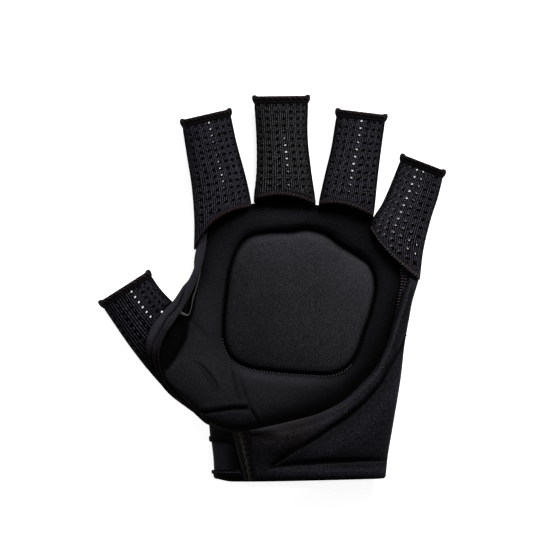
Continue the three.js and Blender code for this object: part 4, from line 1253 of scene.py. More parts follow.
# each profile goes round the roll: how far along the stall, how far out, how much the threads move it
tipRoll = {
    "step": 0.2, "pitch": 2.1, "rowPitch": 1.5, "ridge": 0.6, "slant": 0.5, "lumps": 0.1,
    "earPush": 0.75, "dent": 0.25, "dentPitch": 1.3,
    "ear": [(0.0, 0.4), (0.2, 0.8), (0.6, 1.05), (1.1, 1.15), (2.0, 1.1), (2.6, 0.9), (2.95, 0.65),
            (3.35, 0.4), (3.8, 0.26)],
    "profile": [(0.0, -0.9, 0.2), (0.0, -0.25, 0.5), (0.2, 0.3, 1), (0.6, 0.62, 1), (1.1, 0.74, 1),
                (1.6, 0.6, 1), (2.0, 0.25, 1), (2.3, -0.05, 0.5), (2.6, 0.2, 0.6), (2.95, 0.3, 0.8),
                (3.35, 0.32, 0.7), (3.8, 0.26, 0.3), (3.9, 0.1, 0), (3.5, -0.5, 0), (2.55, -0.6, 0),
                (2.4, -1.35, 0), (1.3, -1.5, 0), (0.4, -1.4, 0)],
}
baseRoll = {
    "step": 0.2, "pitch": 1.45, "ridge": 0.45, "slant": 0.5,
    "profile": [(0.0, -1.0, 0.3), (0.0, -0.2, 0.6), (0.25, 0.35, 1), (0.65, 0.6, 1), (1.1, 0.66, 1),
                (1.55, 0.5, 1), (1.9, 0.2, 0.8), (2.3, -0.1, 0.3), (2.3, -0.5, 0), (1.2, -0.6, 0),
                (1.1, -1.3, 0), (0.3, -1.25, 0)],
    "lit": [(0, 0.8), (0.4, 1.3), (1.0, 1.2), (1.5, 0.5), (2.3, 0.1)],
}


def makeTipRoll(name, stall, roll):
    fraction, table, rim = arcAngles(stall, 0.05)
    lengths, places = lengthAlong(stall)
    count = int(rim / roll["step"])
    share = (np.arange(count) / count)[:, None]
    angle = np.interp(share, fraction, table)
    along, height, moves = np.array(roll["profile"]).T
    rowWraps = round(rim / roll["rowPitch"])
    wraps = share * round(rim / roll["pitch"]) + along * roll["slant"] + 0.2 * np.sin(share * 9.0 * tau)
    phase = np.where((along > 2.3) | (height < -0.5), share * rowWraps, wraps)
    # the roll stands out in a soft ear at each side of the flattened stall
    ear = bell(np.minimum(share, 1 - share) * rim, 2.6) + bell((share - 0.5) * rim, 2.6)
    knob = np.where(height > -0.4, between(roll["ear"], along), height)
    lumps = roll["lumps"] * moves * (np.sin(share * 37.0 * tau / 5)
                                     + np.sin(share * rowWraps * tau) * (along < 0.7))
    ridge = (threadRidge(phase) - 0.6) * roll["ridge"] * moves
    out = height + (knob - height) * ear + ridge * (1 - 0.7 * ear) + lumps * (1 - ear)
    dents = 1 - threadRidge(share * round(rim / roll["dentPitch"]))
    place = np.interp(along + roll["dent"] * dents * (along < 0.3), lengths, places)
    outward = unit(stallPoint(stall, 0.0, angle, 0) - stallPoint(stall, 0.1, angle, 0))
    push = roll["earPush"] * ear * np.clip(1 - along / 2.4, 0, 1)
    sections = stallPoint(stall, place, angle, -out) + outward * push[..., None]
    # painted shade in the groove behind the roll, on its darker second row and where it tucks under; the ears
    # are darker, with a painted highlight
    unshaded = 1 - np.clip(1 - np.abs(along - 2.25) / 0.4, 0, 1) - (along >= 3.4)
    tone = wrapTone(phase) ** 2.4 * unshaded * np.where(along > 2.3, 0.3, 1.0) * (1 - 0.6 * ear) \
        + 0.16 * ear * unshaded * bell(along - 1.1, 0.9)
    tint = 0.1 + 0.6 * wrapTint(np.floor(phase), 3.0)
    return sweep(name + "_tip_roll", sections, True, [tone * stall["hemTone"], tint], hemThread,
                 [name + "_tip_hem"])


def makeBaseRoll(name, stall, roll):
    lengths, places = lengthAlong(stall)
    fine = np.linspace(cut["hemStart"], math.pi - cut["hemStart"], 200)
    run = runAlong(stallPoint(stall, stallEnd(stall, fine), fine, 0))
    where = np.linspace(0, run[-1], int(run[-1] / roll["step"]))[:, None]
    angle = np.interp(where, run, fine)
    endLength = np.interp(stallEnd(stall, angle), places, lengths)
    along, height, moves = np.array(roll["profile"]).T
    phase = where / roll["pitch"] + along * roll["slant"] + 0.3 * np.sin(where * 0.7)
    taper = np.clip(np.minimum(where, run[-1] - where) / 0.8, 0.35, 1)
    out = (height + (threadRidge(phase) - 0.6) * roll["ridge"] * moves) * np.where(height > 0, taper, 1) \
        + 0.1 * np.sin(where * 0.9) * moves
    sections = stallPoint(stall, np.interp(endLength - along, lengths, places), angle, -out)
    upper = bell(along - 1.65, 0.35) * (0.25 + 0.75 * wrapTone(phase + 0.5))
    tone = wrapTone(phase) ** 2.4 * between(roll["lit"], along) + 0.3 * upper
    tint = np.clip(stall["baseTint"] + 0.6 * wrapTint(np.floor(phase), 8.0) - upper, 0, 1)
    return sweep(name + "_base_roll", sections, False, [tone * stall["baseTone"], tint], hemThread,
                 [name + "_base_hem"])


for name, stall in stalls.items():
    stall["named"] = named(stallColumns, stall["rows"])
    piece, rim, endLength = makeStall(name, stall)
    trims = [makeTipRoll(name, stall, tipRoll)]
    if name != "thumb":
        trims.append(makeBaseRoll(name, stall, baseRoll))
    length = endLength - cut["tipHem"] - gap
    rim * 0.001
    length.max() * 0.001
    rim * length.mean() * 1e-6
    print("stall made:", name, len(piece.data.polygons), "faces")


bandRows = named(["y", "leftX", "rightX", "low", "high"], [
    [-98.5, -29.6, 58.0, 0, 24], [-93.0, -30.3, 58.6, 0, 24], [-86.0, -30.6, 59.3, 0, 24],
    [-78.0, -31.4, 60.6, 0, 24], [-70.0, -32.2, 62.0, 0, 24], [-47.0, -34.0, 65.8, 0, 24.4],
    [-29.0, -34.0, 67.9, 0, 24.2], [-14.5, -34.0, 70.4, 0.8, 24.2], [-7.0, -34.0, 71.8, 1.6, 24],
    [4.0, -34.0, 75.0, 3, 23],
])
band = {
    "roundness": 2.8, "flat": 1.4, "seat": -81.8, "topRight": 10.2, "right": -14, "left": 188,
    "wall": 2.4, "open": 330, "back": 90, "levels": 90, "mouth": -98.5,
    # the little stall's hem, and how high the band runs on under it: y at x, and its slope
    "hemAbove": ((50.2, 31.6), (75.2, 4.2)), "underHem": (50.2, 34.6, -1.096),
    "wedgeLow": (1.5, -90.0), "wedgeHigh": (65.0, -28.0), "wedgeLevel": -88.0, "wedgeHeight": 1.5,
    "wedgeSoft": 7.0,
    "diagonal": [[68.8, -23.7], [65.3, -31.9], [59.7, -41.1], [55.6, -48.7], [47.9, -57.9],
                 [39.3, -65.5], [31.6, -70.6], [21.9, -77.3], [12.2, -83.1], [1.5, -90.0]],
    "levelSeam": [[-0.3, -91.3], [8.7, -90.5], [21.9, -89.4], [34.7, -88.7], [47.9, -88.1], [57.6, -87.9]],
    # how far the shadow of each seam reaches above its threads, by the share along it
    "diagonalShade": [(0, 0.35), (0.3, 0.6), (0.55, 1.0), (0.8, 1.6), (0.95, 2.0), (1, 1.0)],
    "levelShade": [(0, 0.4), (0.15, 1.9), (0.5, 2.3), (0.8, 1.3), (1, 0.7)],
    "fold": [[-14.5, -74.2], [-4.0, -75.2], [6.0, -77.0], [14.0, -78.0]],
    # how much shorter the band is at its lower left corner and towards its right end
    "cornerLift": 1.2, "rightLift": 1.4, "edgeRound": 0.8, "edgeReach": 1.2,
}
elastic = {"top": -78.0, "bottom": -92.8, "rightX": -17.0, "backDegrees": 205, "inset": 0.5}


def bandPoint(y, angle, inset):
    place = placeOf(bandRows["y"], y)
    leftX, rightX, low, high = (readAt(bandRows[c], place) for c in ("leftX", "rightX", "low", "high"))
    low = low - band["flat"]
    halfHeight = (high - low) / 2
    u, v = sectionAt(angle, (rightX - leftX) / 2 - inset, halfHeight - inset, band["roundness"])
    x = (rightX + leftX) / 2 + u
    offset = fromLine(x, y, band["wedgeLow"], band["wedgeHigh"])[1]
    under = np.clip(-offset / band["wedgeSoft"], 0, 1)
    above = np.clip((y - band["wedgeLevel"]) / band["wedgeSoft"], 0, 1)
    puff = band["wedgeHeight"] * np.sin(math.pi / 2 * under) * np.sin(math.pi / 2 * above)
    puff = puff * np.maximum(np.sin(angle), 0)
    z = np.maximum(low + band["flat"] + inset, low + halfHeight + v + puff)
    return np.stack(np.broadcast_arrays(x, y, z), -1)


def bandTop(angle):
    def isPast(mid):
        x = bandPoint(mid, angle, 0)[..., 0]
        front = readAt(bandEdge["y"], placeOf(bandEdge["x"], x))
        fromX, height, slope = band["underHem"]
        return mid > np.minimum(front, height + slope * (x - fromX))

    low = np.full(np.shape(angle), band["seat"])
    return bisect(isPast, low, np.full(np.shape(angle), band["topRight"]), 24)


def bandAngleAt(x, y):
    low = np.zeros(np.shape(x))
    return bisect(lambda mid: bandPoint(y, mid, 0)[..., 0] <= x, low, np.full(np.shape(x), math.pi), 24)


def bandRelief(x, y, z):
    # Dips at the sewn seams, the raised hem strip and the soft pull between them, and the shade painted into
    # the seams, the hem strip and the fold.
    palmSide = smoothStep(z, 12, 16)
    away, side, along = lineField(x, y, band["diagonal"])
    puckers = 0.5 + 0.5 * np.sin(along * 92 / 1.3 * tau)
    above = -side * away
    thick = between(band["diagonalShade"], along)
    dip = -(1.5 + 0.2 * puckers) * bell(above - 0.4 * thick, 0.9 + 0.3 * thick) - 0.6 * bell(away, 4)
    shade = smoothStep(above, -0.25 - 0.7 * puckers, -0.05 - 0.35 * puckers) \
        * (1 - smoothStep(above, 0.8 * thick, 1.2 * thick + 0.8)) \
        * (0.65 + 0.35 * smoothStep(along, 0.1, 0.5))
    away, side, alongLevel = lineField(x, y, band["levelSeam"])
    puckers = 0.5 + 0.5 * np.sin(alongLevel * 58 / 1.3 * tau)
    above = side * away
    thick = between(band["levelShade"], alongLevel)
    fade = 1 - 0.25 * smoothStep(alongLevel, 0.85, 1)
    dip -= (1.7 + 0.2 * puckers) * bell(above - 0.4 * thick, 0.8 + 0.25 * thick) * fade
    shade = np.maximum(shade, smoothStep(above, -0.3 - 0.5 * puckers, 0.05)
                       * (1 - smoothStep(above, 0.8 * thick, thick + 0.8)) * fade)
    front = bandFront(x) - y
    edgeRight = smoothStep(x, -6, 14)
    dip += 0.35 * bell(front - 1.6, 1.4) - 0.35 * bell(front - 4.2, 1.3) * edgeRight
    shade = np.maximum(shade, 0.25 * bell(front - 4.3, 0.8) * edgeRight)
    away, _, along = lineField(x, y, band["fold"])
    dip -= 0.7 * bell(away, 2.4) * smoothStep(1 - along, 0, 0.8) + 0.28 * bell(y + 96.6, 0.8)
    shade = np.maximum(shade, 0.8 * bell(away, 2.7) * smoothStep(1 - along, 0, 0.8))
    return dip * palmSide, shade * palmSide


def bandSurface(x, y):
    angle = bandAngleAt(x, y)
    p = bandPoint(y, angle, 0)
    return p[..., 2] + bandRelief(x, y, p[..., 2])[0]


def bandAngles(openSteps, backSteps):
    # Angles over the open side of the band and on round its back.
    openSide = np.arange(openSteps) / openSteps * (band["left"] - band["right"]) + band["right"]
    back = np.arange(backSteps) / backSteps * (360 + band["right"] - band["left"]) + band["left"]
    return np.radians(np.concatenate([openSide, back]))


def bandWindow():
    # The window for the webbing, between two of the solid's own angles.
    base = bandAngles(32, 20)
    first = bandAngleAt(np.array(elastic["rightX"]), np.array((elastic["top"] + elastic["bottom"]) / 2))
    inside = base[(base >= first) & (base <= math.radians(elastic["backDegrees"]))]
    return inside[0], inside[-1]


windowFrom, windowTo = bandWindow()


def bandMarks(x, y, shade):
    # Painted shade, painted highlights and warmth of the cloth, from the seams outwards.
    front = bandFront(x) - y
    away, side, along = lineField(x, y, band["diagonal"])
    level = lineField(x, y, band["levelSeam"])[0]
    inWedge = (side > 0) & (y > band["wedgeLevel"])
    warmth = smoothStep(-x, -42, 0) * (0.08 + 0.7 * smoothStep(y, -84, -75)) \
        * (1 - 0.9 * bell(front - 0.8, 2.2) * smoothStep(x, -12, -8) * smoothStep(-x, -12, 0))
    # painted highlights: along the front strip, towards the right, on the puffed strip below the level seam,
    # in the wedge and under the palm edge
    paintedLight = 0.85 * bell(front - 2.6, np.interp(x, [22, 45], [5.4, 2.6])) * smoothStep(x, -14, 6) \
        + 0.1 * smoothStep(x, 30, 60) \
        + 0.45 * bell(y + 92.4, 1.5) * smoothStep(x, -6, 8) + 0.3 * inWedge * bell(away - 7, 5) \
        + 0.6 * bell(front - 1.3, 1.0) * bell(x + 4, 9)
    # dusk is painted shade: above the diagonal seam, about the lower middle, towards the thumb side, along
    # the bottom, above the level seam, beside the tape and at the upper left
    dusk = 0.75 * np.exp(-away / 2.3) * (side < 0) * smoothStep(along, 0.2, 0.55) * (y > -89.5) \
        + 0.5 * bell(x - 6, 12) * bell(y + 84, 6) + 0.5 * smoothStep(-x, 4, 14) * bell(y + 84, 12) \
        + 0.9 * smoothStep(-y, 94.6, 97.0) + 0.8 * inWedge * np.exp(-level / 3.0) \
        + 0.8 * smoothStep(-x, 12.0, 14.5) * smoothStep(-y, 77, 79) * smoothStep(y, -93, -91) \
        + 0.9 * smoothStep(-x, 8, 14) * smoothStep(y, -81, -78.5) * (1 - 0.45 * smoothStep(-x, 20, 27))
    return np.maximum(shade, np.clip(dusk, 0, 0.94)), paintedLight, warmth


def makeBand(b):
    angles = bandAngles(b["open"], b["back"])
    for edge in (windowFrom, windowTo):
        angles[np.argmin(np.abs(angles - edge))] = edge
    start = elastic["top"] + gap
    under = elastic["bottom"] - gap
    top = np.where(np.arange(len(angles)) <= b["open"], bandTop(angles), start + 1)
    lower = np.concatenate([b["mouth"] + np.array([0, 0.35, 0.9]), np.linspace(b["mouth"] + 1.6, under, 6),
                            np.linspace(under, start, 18)[1:-1]])
    mouthX = bandPoint(b["mouth"], angles, 0)[:, 0]
    lift = b["cornerLift"] * smoothStep(-mouthX, 20, 29.6) ** 1.5 \
        + b["rightLift"] * smoothStep(mouthX, -20, 70)
    low = lower + lift[:, None] * (1 - np.clip((lower - b["mouth"]) / 5.5, 0, 1))
    ys = np.hstack([low, start + (top - start)[:, None] * np.linspace(0, 1, b["levels"])])
    turn = np.broadcast_to(angles[:, None], ys.shape)
    plain = bandPoint(ys, turn, 0)
    dip, shade = bandRelief(plain[..., 0], ys, plain[..., 2])
    toTop = np.where(turn <= windowTo, top[:, None] - ys, 9)
    edgeRound = sum(b["edgeRound"] * (1 - np.clip(far / b["edgeReach"], 0, 1)) ** 2
                    for far in (ys - low[:, :1], toTop))
    overHem = fromLine(plain[..., 0], ys, *b["hemAbove"])[1]
    tucked = 2.3 * smoothStep(overHem, -2.2, -0.2) * smoothStep(np.sin(turn), 0.1, 0.5)
    outer = bandPoint(ys, turn, edgeRound + tucked)
    outer[..., 2] += dip
    inner = bandPoint(ys, turn, b["wall"] - edgeRound * 0.5 + tucked * 0.5)
    # the window for the webbing stays open, and the back ends under the pad
    i = np.arange(len(angles))[:, None]
    j = np.arange(ys.shape[1] - 1)[None]
    following = np.roll(angles, -1)[:, None]
    inWindow = (angles[:, None] >= windowFrom - 1e-6) & (following <= windowTo + 1e-6) \
        & (following > angles[:, None])
    seatRow = int(np.argmin(np.abs(lower - b["seat"])))
    kept = ~(inWindow & (j >= 8) & (j < len(lower))) & ((i < b["open"]) | (j < seatRow))
    faces, i, j, layer = shellFaces(len(angles), ys.shape[1], True, kept)
    i = i % len(angles)
    shade, paintedLight, warmth = (grid[i, j] for grid in bandMarks(outer[..., 0], ys, shade))
    # the inside layer gets painted shade
    look = np.stack([shade * (layer == 0) + 0.5 * (layer == 1), paintedLight * (layer == 0), warmth], -1)
    return makePiece("wrist_cuff", np.stack([outer, inner], 2).reshape(-1, 3), faces, {"look": look},
                     wristCloth, ["wrist_band"], weld=True)


cuff = makeBand(band)
print("wrist cuff made:", len(cuff.data.polygons), "faces")


def bandPatch(name, ys, angles, rise, thickness, look, finish, replaces):
    # A patch that follows the band. rise is how far its outside stands off the band.
    outer = bandPoint(ys, angles, -rise)
    inner = bandPoint(ys, angles, thickness - rise.min())
    kept = np.ones((ys.shape[0] - 1, ys.shape[1] - 1), bool)
    faces, i, j, layer = shellFaces(ys.shape[0], ys.shape[1], False, kept)
    points = np.stack([outer, inner], 2).reshape(-1, 3)
    marks = {"look": look[i, j] * (layer == 0)[..., None],
             "clothAt": np.stack([outer[..., 0][i, j], ys[i, j], layer], -1)}
    return makePiece(name, points, faces, marks, finish, replaces)


webbing = {
    "columns": 120, "rows": 44, "ribPitch": 1.05, "ribHeight": 0.02, "belly": 0.15, "middleY": 85.4,
    "height": 15, "thickness": 1.0,
    "begin": 0.012, "shorter": 0.04,      # radians left free in the window
}


def makeWebbing(w):
    share = np.linspace(0, 1, w["columns"])[:, None]
    ys = np.linspace(elastic["bottom"], elastic["top"], w["rows"]) + 0 * share
    angles = windowFrom + w["begin"] + (windowTo - windowFrom - w["shorter"]) * share + 0 * ys
    x = bandPoint(ys, angles, 0)[..., 0]
    rise = -elastic["inset"] + w["ribHeight"] * np.cos(x / w["ribPitch"] * tau) \
        + w["belly"] * np.sin((ys + w["middleY"]) / w["height"] * math.pi)
    # painted highlight towards the webbing's left side, darker elsewhere
    look = np.stack([0 * ys, 0.55 * smoothStep(-x, 20, 26) - 0.26, 0 * ys], -1)
    piece = bandPatch("cuff_webbing", ys, angles, rise, w["thickness"], look, elasticWebbing,
                      ["wrist_elastic"])
    return piece


makeWebbing(webbing)

tape = {
    "columns": 34, "rows": 96, "thickness": 0.9, "toothPitch": 2.65, "dotPitch": 1.15, "rowPitch": 0.8,
    "table": [[-73.4, -19.8, -12.6], [-86.0, -16.6, -10.0], [-98.0, -13.6, -8.3]],
}


def makeTape(t):
    rows = named(["y", "leftX", "rightX"], t["table"])
    y = np.linspace(rows["y"][0], rows["y"][-1], t["rows"])
    place = placeOf(rows["y"], y)
    fromTurn = bandAngleAt(readAt(rows["rightX"], place), y)
    toTurn = bandAngleAt(readAt(rows["leftX"], place), y)
    share = np.linspace(0, 1, t["columns"])[:, None]
    angles = fromTurn + (toTurn - fromTurn) * share
    ys = np.broadcast_to(y, angles.shape)
    fromMiddle = np.abs(share - 0.5) * 2
    tooth = np.cos(y / t["toothPitch"] * math.pi)[None] ** 2
    cord = bell(share - 0.41 + 0.03 * np.sin(y * 1.7)[None], 0.07)
    # marksAt is the painted shadow of the teeth along the tape's right edge
    marksAt = smoothStep(0.12 + 0.22 * tooth - share, 0.0, 0.06)
    dots = bell(share - 0.9, 0.07) * wrapTone(y / t["dotPitch"])[None]
    ripple = np.cos(ys / t["rowPitch"] * tau)
    edge = 1 - smoothStep(fromMiddle, 0.86, 1.0)
    rise = gap + t["thickness"] * (0.45 + 0.55 * edge) + 0.3 * cord - 0.3 * marksAt + 0.06 * ripple
    wander = 0.5 + 0.5 * np.sin(ys * 2.1) * np.sin(ys * 0.9 + 1)
    brown = smoothStep(ys, -80, -76)
    tone = 0.05 + 0.6 * cord * (0.5 + 0.5 * wander) + 0.5 * dots + 0.06 * (share < 0.33) \
        + 0.02 * ripple + 0.2 * brown * wander
    look = np.stack([np.clip(tone - 2 * marksAt, 0, 1), 0.1 + 0.8 * brown, 0 * ys], -1)
    return bandPatch("cuff_tape", ys, angles, rise, t["thickness"], look, tapeThread,
                     ["wrist_seam_tape"])


makeTape(tape)

bindings = [
    {"name": "webbing_binding_top", "node": "elastic_top_binding", "top": -75.6, "bottom": -78.4,
     "rightX": -20.0, "pale": 0.12},
    {"name": "webbing_binding_bottom", "node": "elastic_bottom_binding", "top": -93.0, "bottom": -94.8,
     "rightX": -16.0, "pale": 0.8},
]
bindingLook = {"columns": 110, "rows": 14, "thickness": 0.45, "pitch": 1.1, "ridge": 0.08, "run": 34,
               "shorter": 0.08}


def makeBinding(b, style):
    y = np.linspace(b["bottom"], b["top"], style["rows"])
    fromTurn = bandAngleAt(np.full(y.shape, b["rightX"]), y)
    toTurn = math.radians(elastic["backDegrees"]) - style["shorter"]
    share = np.linspace(0, 1, style["columns"])[:, None]
    angles = fromTurn + (toTurn - fromTurn) * share
    ys = np.broadcast_to(y, angles.shape)
    across = (ys - b["bottom"]) / (b["top"] - b["bottom"])
    bulge = np.sqrt(np.clip(1 - (2 * across - 1) ** 2, 0, 1))
    ridge = threadRidge(share * style["run"] / style["pitch"] + across * 0.6)
    rise = gap + style["thickness"] * (0.2 + 0.8 * bulge) + style["ridge"] * (ridge - 0.5)
    # the binding is kept nearly as dark as the shaded colour, with a paler line across it and a painted
    # highlight on its bulge
    look = np.stack([0.98 - b["pale"] * bell(across - 0.6, 0.16), b["pale"] * bulge, 0.2 + 0 * ys], -1)
    return bandPatch(b["name"], ys, angles, rise, style["thickness"], look, wristCloth,
                     [b["node"]])


for binding in bindings:
    makeBinding(binding, bindingLook)
print("webbing, tape and bindings made")


strip = {
    "columns": ["outerX", "outerY", "innerX", "innerY", "z"],
    "rows": [
        [-38.4, 25.5, -33.0, 29.0, 13.2], [-39.0, 19.0, -34.0, 19.8, 14.6], [-39.3, 13.6, -35.4, 13.4, 15.4],
        [-40.3, 9.4, -36.7, 8.6, 15.8], [-42.7, 4.4, -38.8, 2.8, 15.4], [-45.6, 1.0, -41.0, -2.0, 15.0],
        [-50.2, -5.9, -44.3, -8.2, 14.8],
        [-54.6, -10.5, -48.2, -14.3, 15.4], [-58.6, -15.4, -51.8, -19.6, 16.4],
        [-61.6, -19.9, -54.3, -23.4, 17.0], [-64.0, -26.3, -56.1, -27.6, 17.2],
        [-64.2, -32.0, -57.3, -32.2, 16.8], [-62.8, -38.6, -57.6, -37.6, 15.0],
        [-59.8, -44.6, -56.6, -42.4, 12.4], [-56.0, -50.4, -54.0, -47.6, 9.6],
        [-51.6, -55.2, -49.6, -51.6, 7.8], [-46.2, -59.4, -45.2, -55.4, 6.8],
        [-40.4, -63.6, -41.0, -59.6, 6.4], [-36.0, -66.8, -36.8, -64.2, 6.2],
        [-32.6, -69.0, -33.6, -67.0, 6.2],
    ],
    "half": 1.2, "rim": 0.3, "steps": 260, "sides": 36,
    "crease": [[-43.6, 1.3], [-45.4, -2.3], [-47.4, -7.9], [-50.2, -11.5], [-53.6, -15.0], [-57.1, -21.2],
               [-60.7, -27.8], [-61.7, -33.4], [-62.2, -38.0], [-58.9, -43.9]],
    "creaseDepth": 0.8,
}
strip["named"] = named(strip["columns"], strip["rows"])


def stripPoint(place, share, height):
    ox, oy, ix, iy, z = (readAt(strip["named"][c], place) for c in strip["columns"])
    return np.stack(np.broadcast_arrays(ox + (ix - ox) * share, oy + (iy - oy) * share, z + height), -1)


def makeStrip(s):
    place = np.linspace(0, len(s["rows"]) - 1, s["steps"])[:, None]
    half = s["sides"] // 2
    over = np.linspace(1, 0, half)
    share = np.concatenate([over, over[::-1]])
    isTop = np.arange(s["sides"]) < half
    bow = np.sqrt(np.clip(1 - (2 * share - 1) ** 2, 0, 1)) ** 0.6
    height = np.maximum(bow * s["half"], s["rim"]) * np.where(isTop, 1, -1)
    flat = stripPoint(place, share, 0)
    away, _, along = lineField(flat[..., 0], flat[..., 1], s["crease"])
    fade = smoothStep(along, 0, 0.1) * smoothStep(1 - along, 0, 0.1) * isTop
    puckers = 0.5 + 0.5 * np.sin(along * 60 / 1.9 * tau)
    dip = s["creaseDepth"] * bell(away, 0.45) * fade * (0.8 + 0.2 * puckers)
    puff = 0.35 * bell(away - 1.9, 1.2) * fade
    # painted shade on the crease, the underside and the inner half, and over the lower end but for its two
    # edges and a paler line
    low = smoothStep(place, 9.0, 12.5)
    paleLine = bell(share - 0.25, 0.2) * smoothStep(place, 14, 16.5)
    shade = np.maximum.reduce([
        bell(away, 0.34 + 0.12 * puckers) * fade, 0.5 * ~isTop + 0 * away,
        smoothStep(share, 0.5, 0.75) * 0.5 * isTop * smoothStep(place, 7.0, 9.0),
        low * isTop * (0.93 - 0.6 * bell(share - 0.55, 0.1) - 0.5 * bell(share - 0.95, 0.07) - 0.6 * paleLine),
    ])
    # painted highlight on the upper part, on the inner edge and on the paler line
    paintedLight = ((0.35 * bell(share - 0.24, 0.26) + 0.75) * (1 - low) + 0.5 * bell(share - 0.97, 0.05)
            + 0.7 * paleLine) * isTop
    warm = np.clip(0.15 + 0.7 * low + 0.8 * bell(share - 1, 0.12), 0, 1)
    piece = sweep("thumb_web_fold", stripPoint(place, share, height - dip + puff), False, [shade, paintedLight, warm],
                  wristCloth, ["thumb_web_strip"])
    return piece


makeStrip(strip)

sideSeam = {
    "path": [[67.2, 10.6], [67.3, 4.0], [66.3, -1.9], [65.2, -7.2], [63.9, -13.7]],
    "radius": [1.6, 1.55, 1.35, 1.1, 0.8], "pitch": 1.5, "ridge": 0.5, "steps": 190, "sides": 24,
    "tone": 1.8,
}


def makeSideSeam(s):
    # Two rows of beads side by side, with a groove between them.
    place = np.linspace(0, len(s["path"]) - 1, s["steps"])[:, None]
    x, y, radius = (readAt(column, place) for column in (*np.array(s["path"]).T, s["radius"]))
    z = padTop(*padPlace(x, y)) + radius + gap
    turn = turns(s["sides"])
    phase = runAlong(np.hstack([x, y]))[:, None] / s["pitch"] + 0.5 * (np.cos(turn) > 0) + 0.25 * np.cos(turn)
    valley = bell(turn - math.pi / 2, 0.3)
    size = radius * (1 - 0.3 * valley) + (threadRidge(phase) - 0.6) * s["ridge"]
    sections = np.stack([x + size * np.cos(turn), y + 0 * size, z + size * np.sin(turn)], -1)
    # painted shade in the groove between the two rows
    tone = s["tone"] * wrapTone(phase) ** 3.8 * (1 - 0.9 * valley)
    return sweep("side_seam", sections, False, [tone, 0.3 * wrapTint(np.floor(phase), 5.0)], hemThread,
                 ["side_overlock"])


makeSideSeam(sideSeam)
print("web fold and side seam made")


sewing = {
    # name, from and to in degrees, thread
    "cushionRuns": [("left", 155, 205, shadeThread), ("low", 205, 310, seamThread),
                    ("right", 310, 392, shadeThread)],
    "cushionPitch": 1.5, "cushionOut": 1.35, "bandPitch": 1.3, "tickOut": 0.75, "lineTicksTo": 32,
    "thumbPitch": 1.5,
    "thumbSeam": [[-42.9, -17.1], [-43.3, -21.7], [-44.0, -26.3], [-47.2, -31.6], [-50.3, -37.0],
                  [-54.2, -41.4]],
    "edgeZigzag": [[69.0, -5.6], [65.6, -15.0], [62.8, -23.8], [60.0, -32.4], [55.6, -41.4], [48.6, -49.8],
                   [39.6, -58.2], [30.0, -63.6]],
}


def cushionStitches(s):
    # Threads that cross the lower lip of the groove: pale ones below, shaded ones at the sides.
    for name, low, high, finish in s["cushionRuns"]:
        turn = np.radians(np.linspace(low, high, 120))
        line = np.column_stack(fromPolar(cushionRadius(turn) + s["cushionOut"], turn))
        row = evenStitches(line, palmHeight, s["cushionPitch"], 0.15, slant=1.2)
        stitches("cushion_stitches_" + name, [row], finish, 0.24, 0.34)


def bandStitches(s):
    pitch = s["bandPitch"]
    diagonal = smoothLine(band["diagonal"], 0.5)
    stitches("cuff_stitches", [evenStitches(diagonal, bandSurface, pitch, 0.15, zigzag=0.35),
                               evenStitches(band["levelSeam"], bandSurface, pitch, 0.15, zigzag=0.3)],
             shadeThread, 0.22, 0.8)
    below = np.array(band["levelSeam"]) - (0, s["tickOut"])
    low = diagonal[diagonal[:, 0] < s["lineTicksTo"]] + (0.35, -0.5)
    stitches("cuff_ticks", [evenStitches(line, bandSurface, pitch, 0.12, slant=0.9) for line in (below, low)],
             tickThread, 0.22, 0.36)
    stitches("cuff_edge_zigzag", [evenStitches(s["edgeZigzag"], bandSurface, pitch, 0.1, zigzag=1.0)],
             paleThread, 0.27, 0.5)
    x = np.linspace(2, 62, 60)
    edge = np.column_stack([x, bandFront(x) - 0.9])
    stitches("cuff_edge_dots", [evenStitches(edge, bandSurface, pitch, 0.1)], tickThread, 0.2, 0.4)


def palmStitches(s):
    quilt = palm["creases"][4]["line"]
    stitches("thumb_seam_stitches", [evenStitches(s["thumbSeam"], palmHeight, s["thumbPitch"], 0.1)],
             shadeThread, 0.24, 0.5)
    stitches("quilt_stitches", [evenStitches(quilt, palmHeight, s["thumbPitch"], 0.3)],
             shadeThread, 0.24, 0.5)


cushionStitches(sewing)
bandStitches(sewing)
palmStitches(sewing)
print("threads sewn")


# the camera looks straight down: width is how much it sees across, at the height "above" the table
view = {"middle": (-0.0028, 0.0112), "height": 2.5, "above": 0.02, "width": 0.27183, "sensor": 36.0}
lamps = {
    "key": {"at": (0.45, 1.15, 1.05), "size": 0.8, "power": 36.0},
    "fill": {"at": (0.6, -0.9, 1.6), "size": 1.6, "power": 2.4},
    "side": {"at": (-1.3, 0.2, 1.1), "size": 0.9, "power": 4.5},
}
studio = {"strength": 0.05, "floorSize": 3.0, "floorDrop": 0.0004, "floorGlow": 0.85, "floorGrey": 0.86}


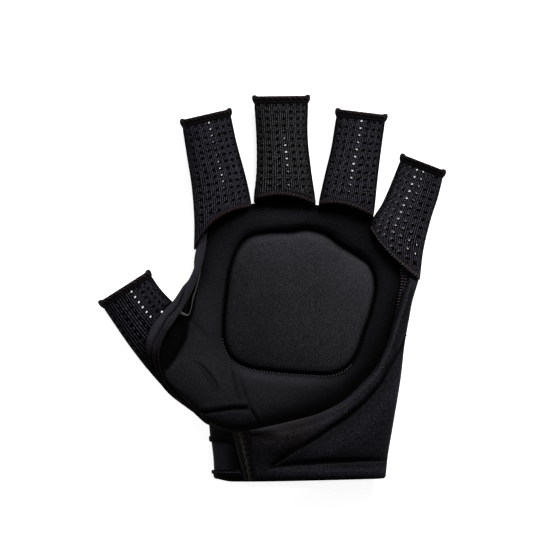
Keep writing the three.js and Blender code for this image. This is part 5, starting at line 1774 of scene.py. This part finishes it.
def makeCamera(v):
    data = bpy.data.cameras.new("camera")
    data.sensor_width = v["sensor"]
    data.lens = v["sensor"] * v["height"] / v["width"]
    data.clip_start = 0.05
    data.clip_end = 20
    camera = bpy.data.objects.new("camera", data)
    camera.location = (*v["middle"], v["height"] + v["above"])
    bpy.context.scene.collection.objects.link(camera)
    bpy.context.scene.camera = camera


def makeLight(name, l):
    data = bpy.data.lights.new(name, "AREA")
    data.energy = l["power"]
    data.size = l["size"]
    lamp = bpy.data.objects.new(name, data)
    lamp.location = l["at"]
    direction = -np.array(l["at"]) / np.linalg.norm(l["at"])
    lamp.rotation_euler = Vector(direction).to_track_quat("-Z", "Y").to_euler()
    bpy.context.scene.collection.objects.link(lamp)


def makeFloor(s):
    finish = Finish("pale floor", {
        "Base Color": (s["floorGrey"], s["floorGrey"], s["floorGrey"], 1), "Specular IOR Level": 0.1,
        "Emission Color": (1, 1, 1, 1), "Emission Strength": s["floorGlow"],
    })
    finish.feed(finish.shader.inputs["Roughness"], 0.85 + finish.noise(30) * 0.1)
    size = s["floorSize"]
    mesh = bpy.data.meshes.new("floor")
    mesh.from_pydata([(-size, -size, 0), (size, -size, 0), (size, size, 0), (-size, size, 0)], [],
                     [(0, 1, 2, 3)])
    mesh.materials.append(finish.material)
    floor = bpy.data.objects.new("floor", mesh)
    floor.location.z = -s["floorDrop"]
    bpy.context.scene.collection.objects.link(floor)
    floor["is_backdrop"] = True


makeCamera(view)
for name, lamp in lamps.items():
    makeLight(name, lamp)
makeFloor(studio)
world = bpy.data.worlds.new("studio")
world.use_nodes = True
background = world.node_tree.nodes["Background"]
background.inputs["Color"].default_value = (1, 1, 1, 1)
background.inputs["Strength"].default_value = studio["strength"]
bpy.context.scene.world = world
bpy.context.scene.view_settings.view_transform = "Standard"
bpy.context.scene.view_settings.look = "None"
print("camera, light and floor made")

triangles = {piece.name: sum(len(face.vertices) - 2 for face in piece.data.polygons)
             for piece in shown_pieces() if piece.type == "MESH"}
print("triangles:", sum(triangles.values()), max(triangles.items(), key=lambda entry: entry[1]))
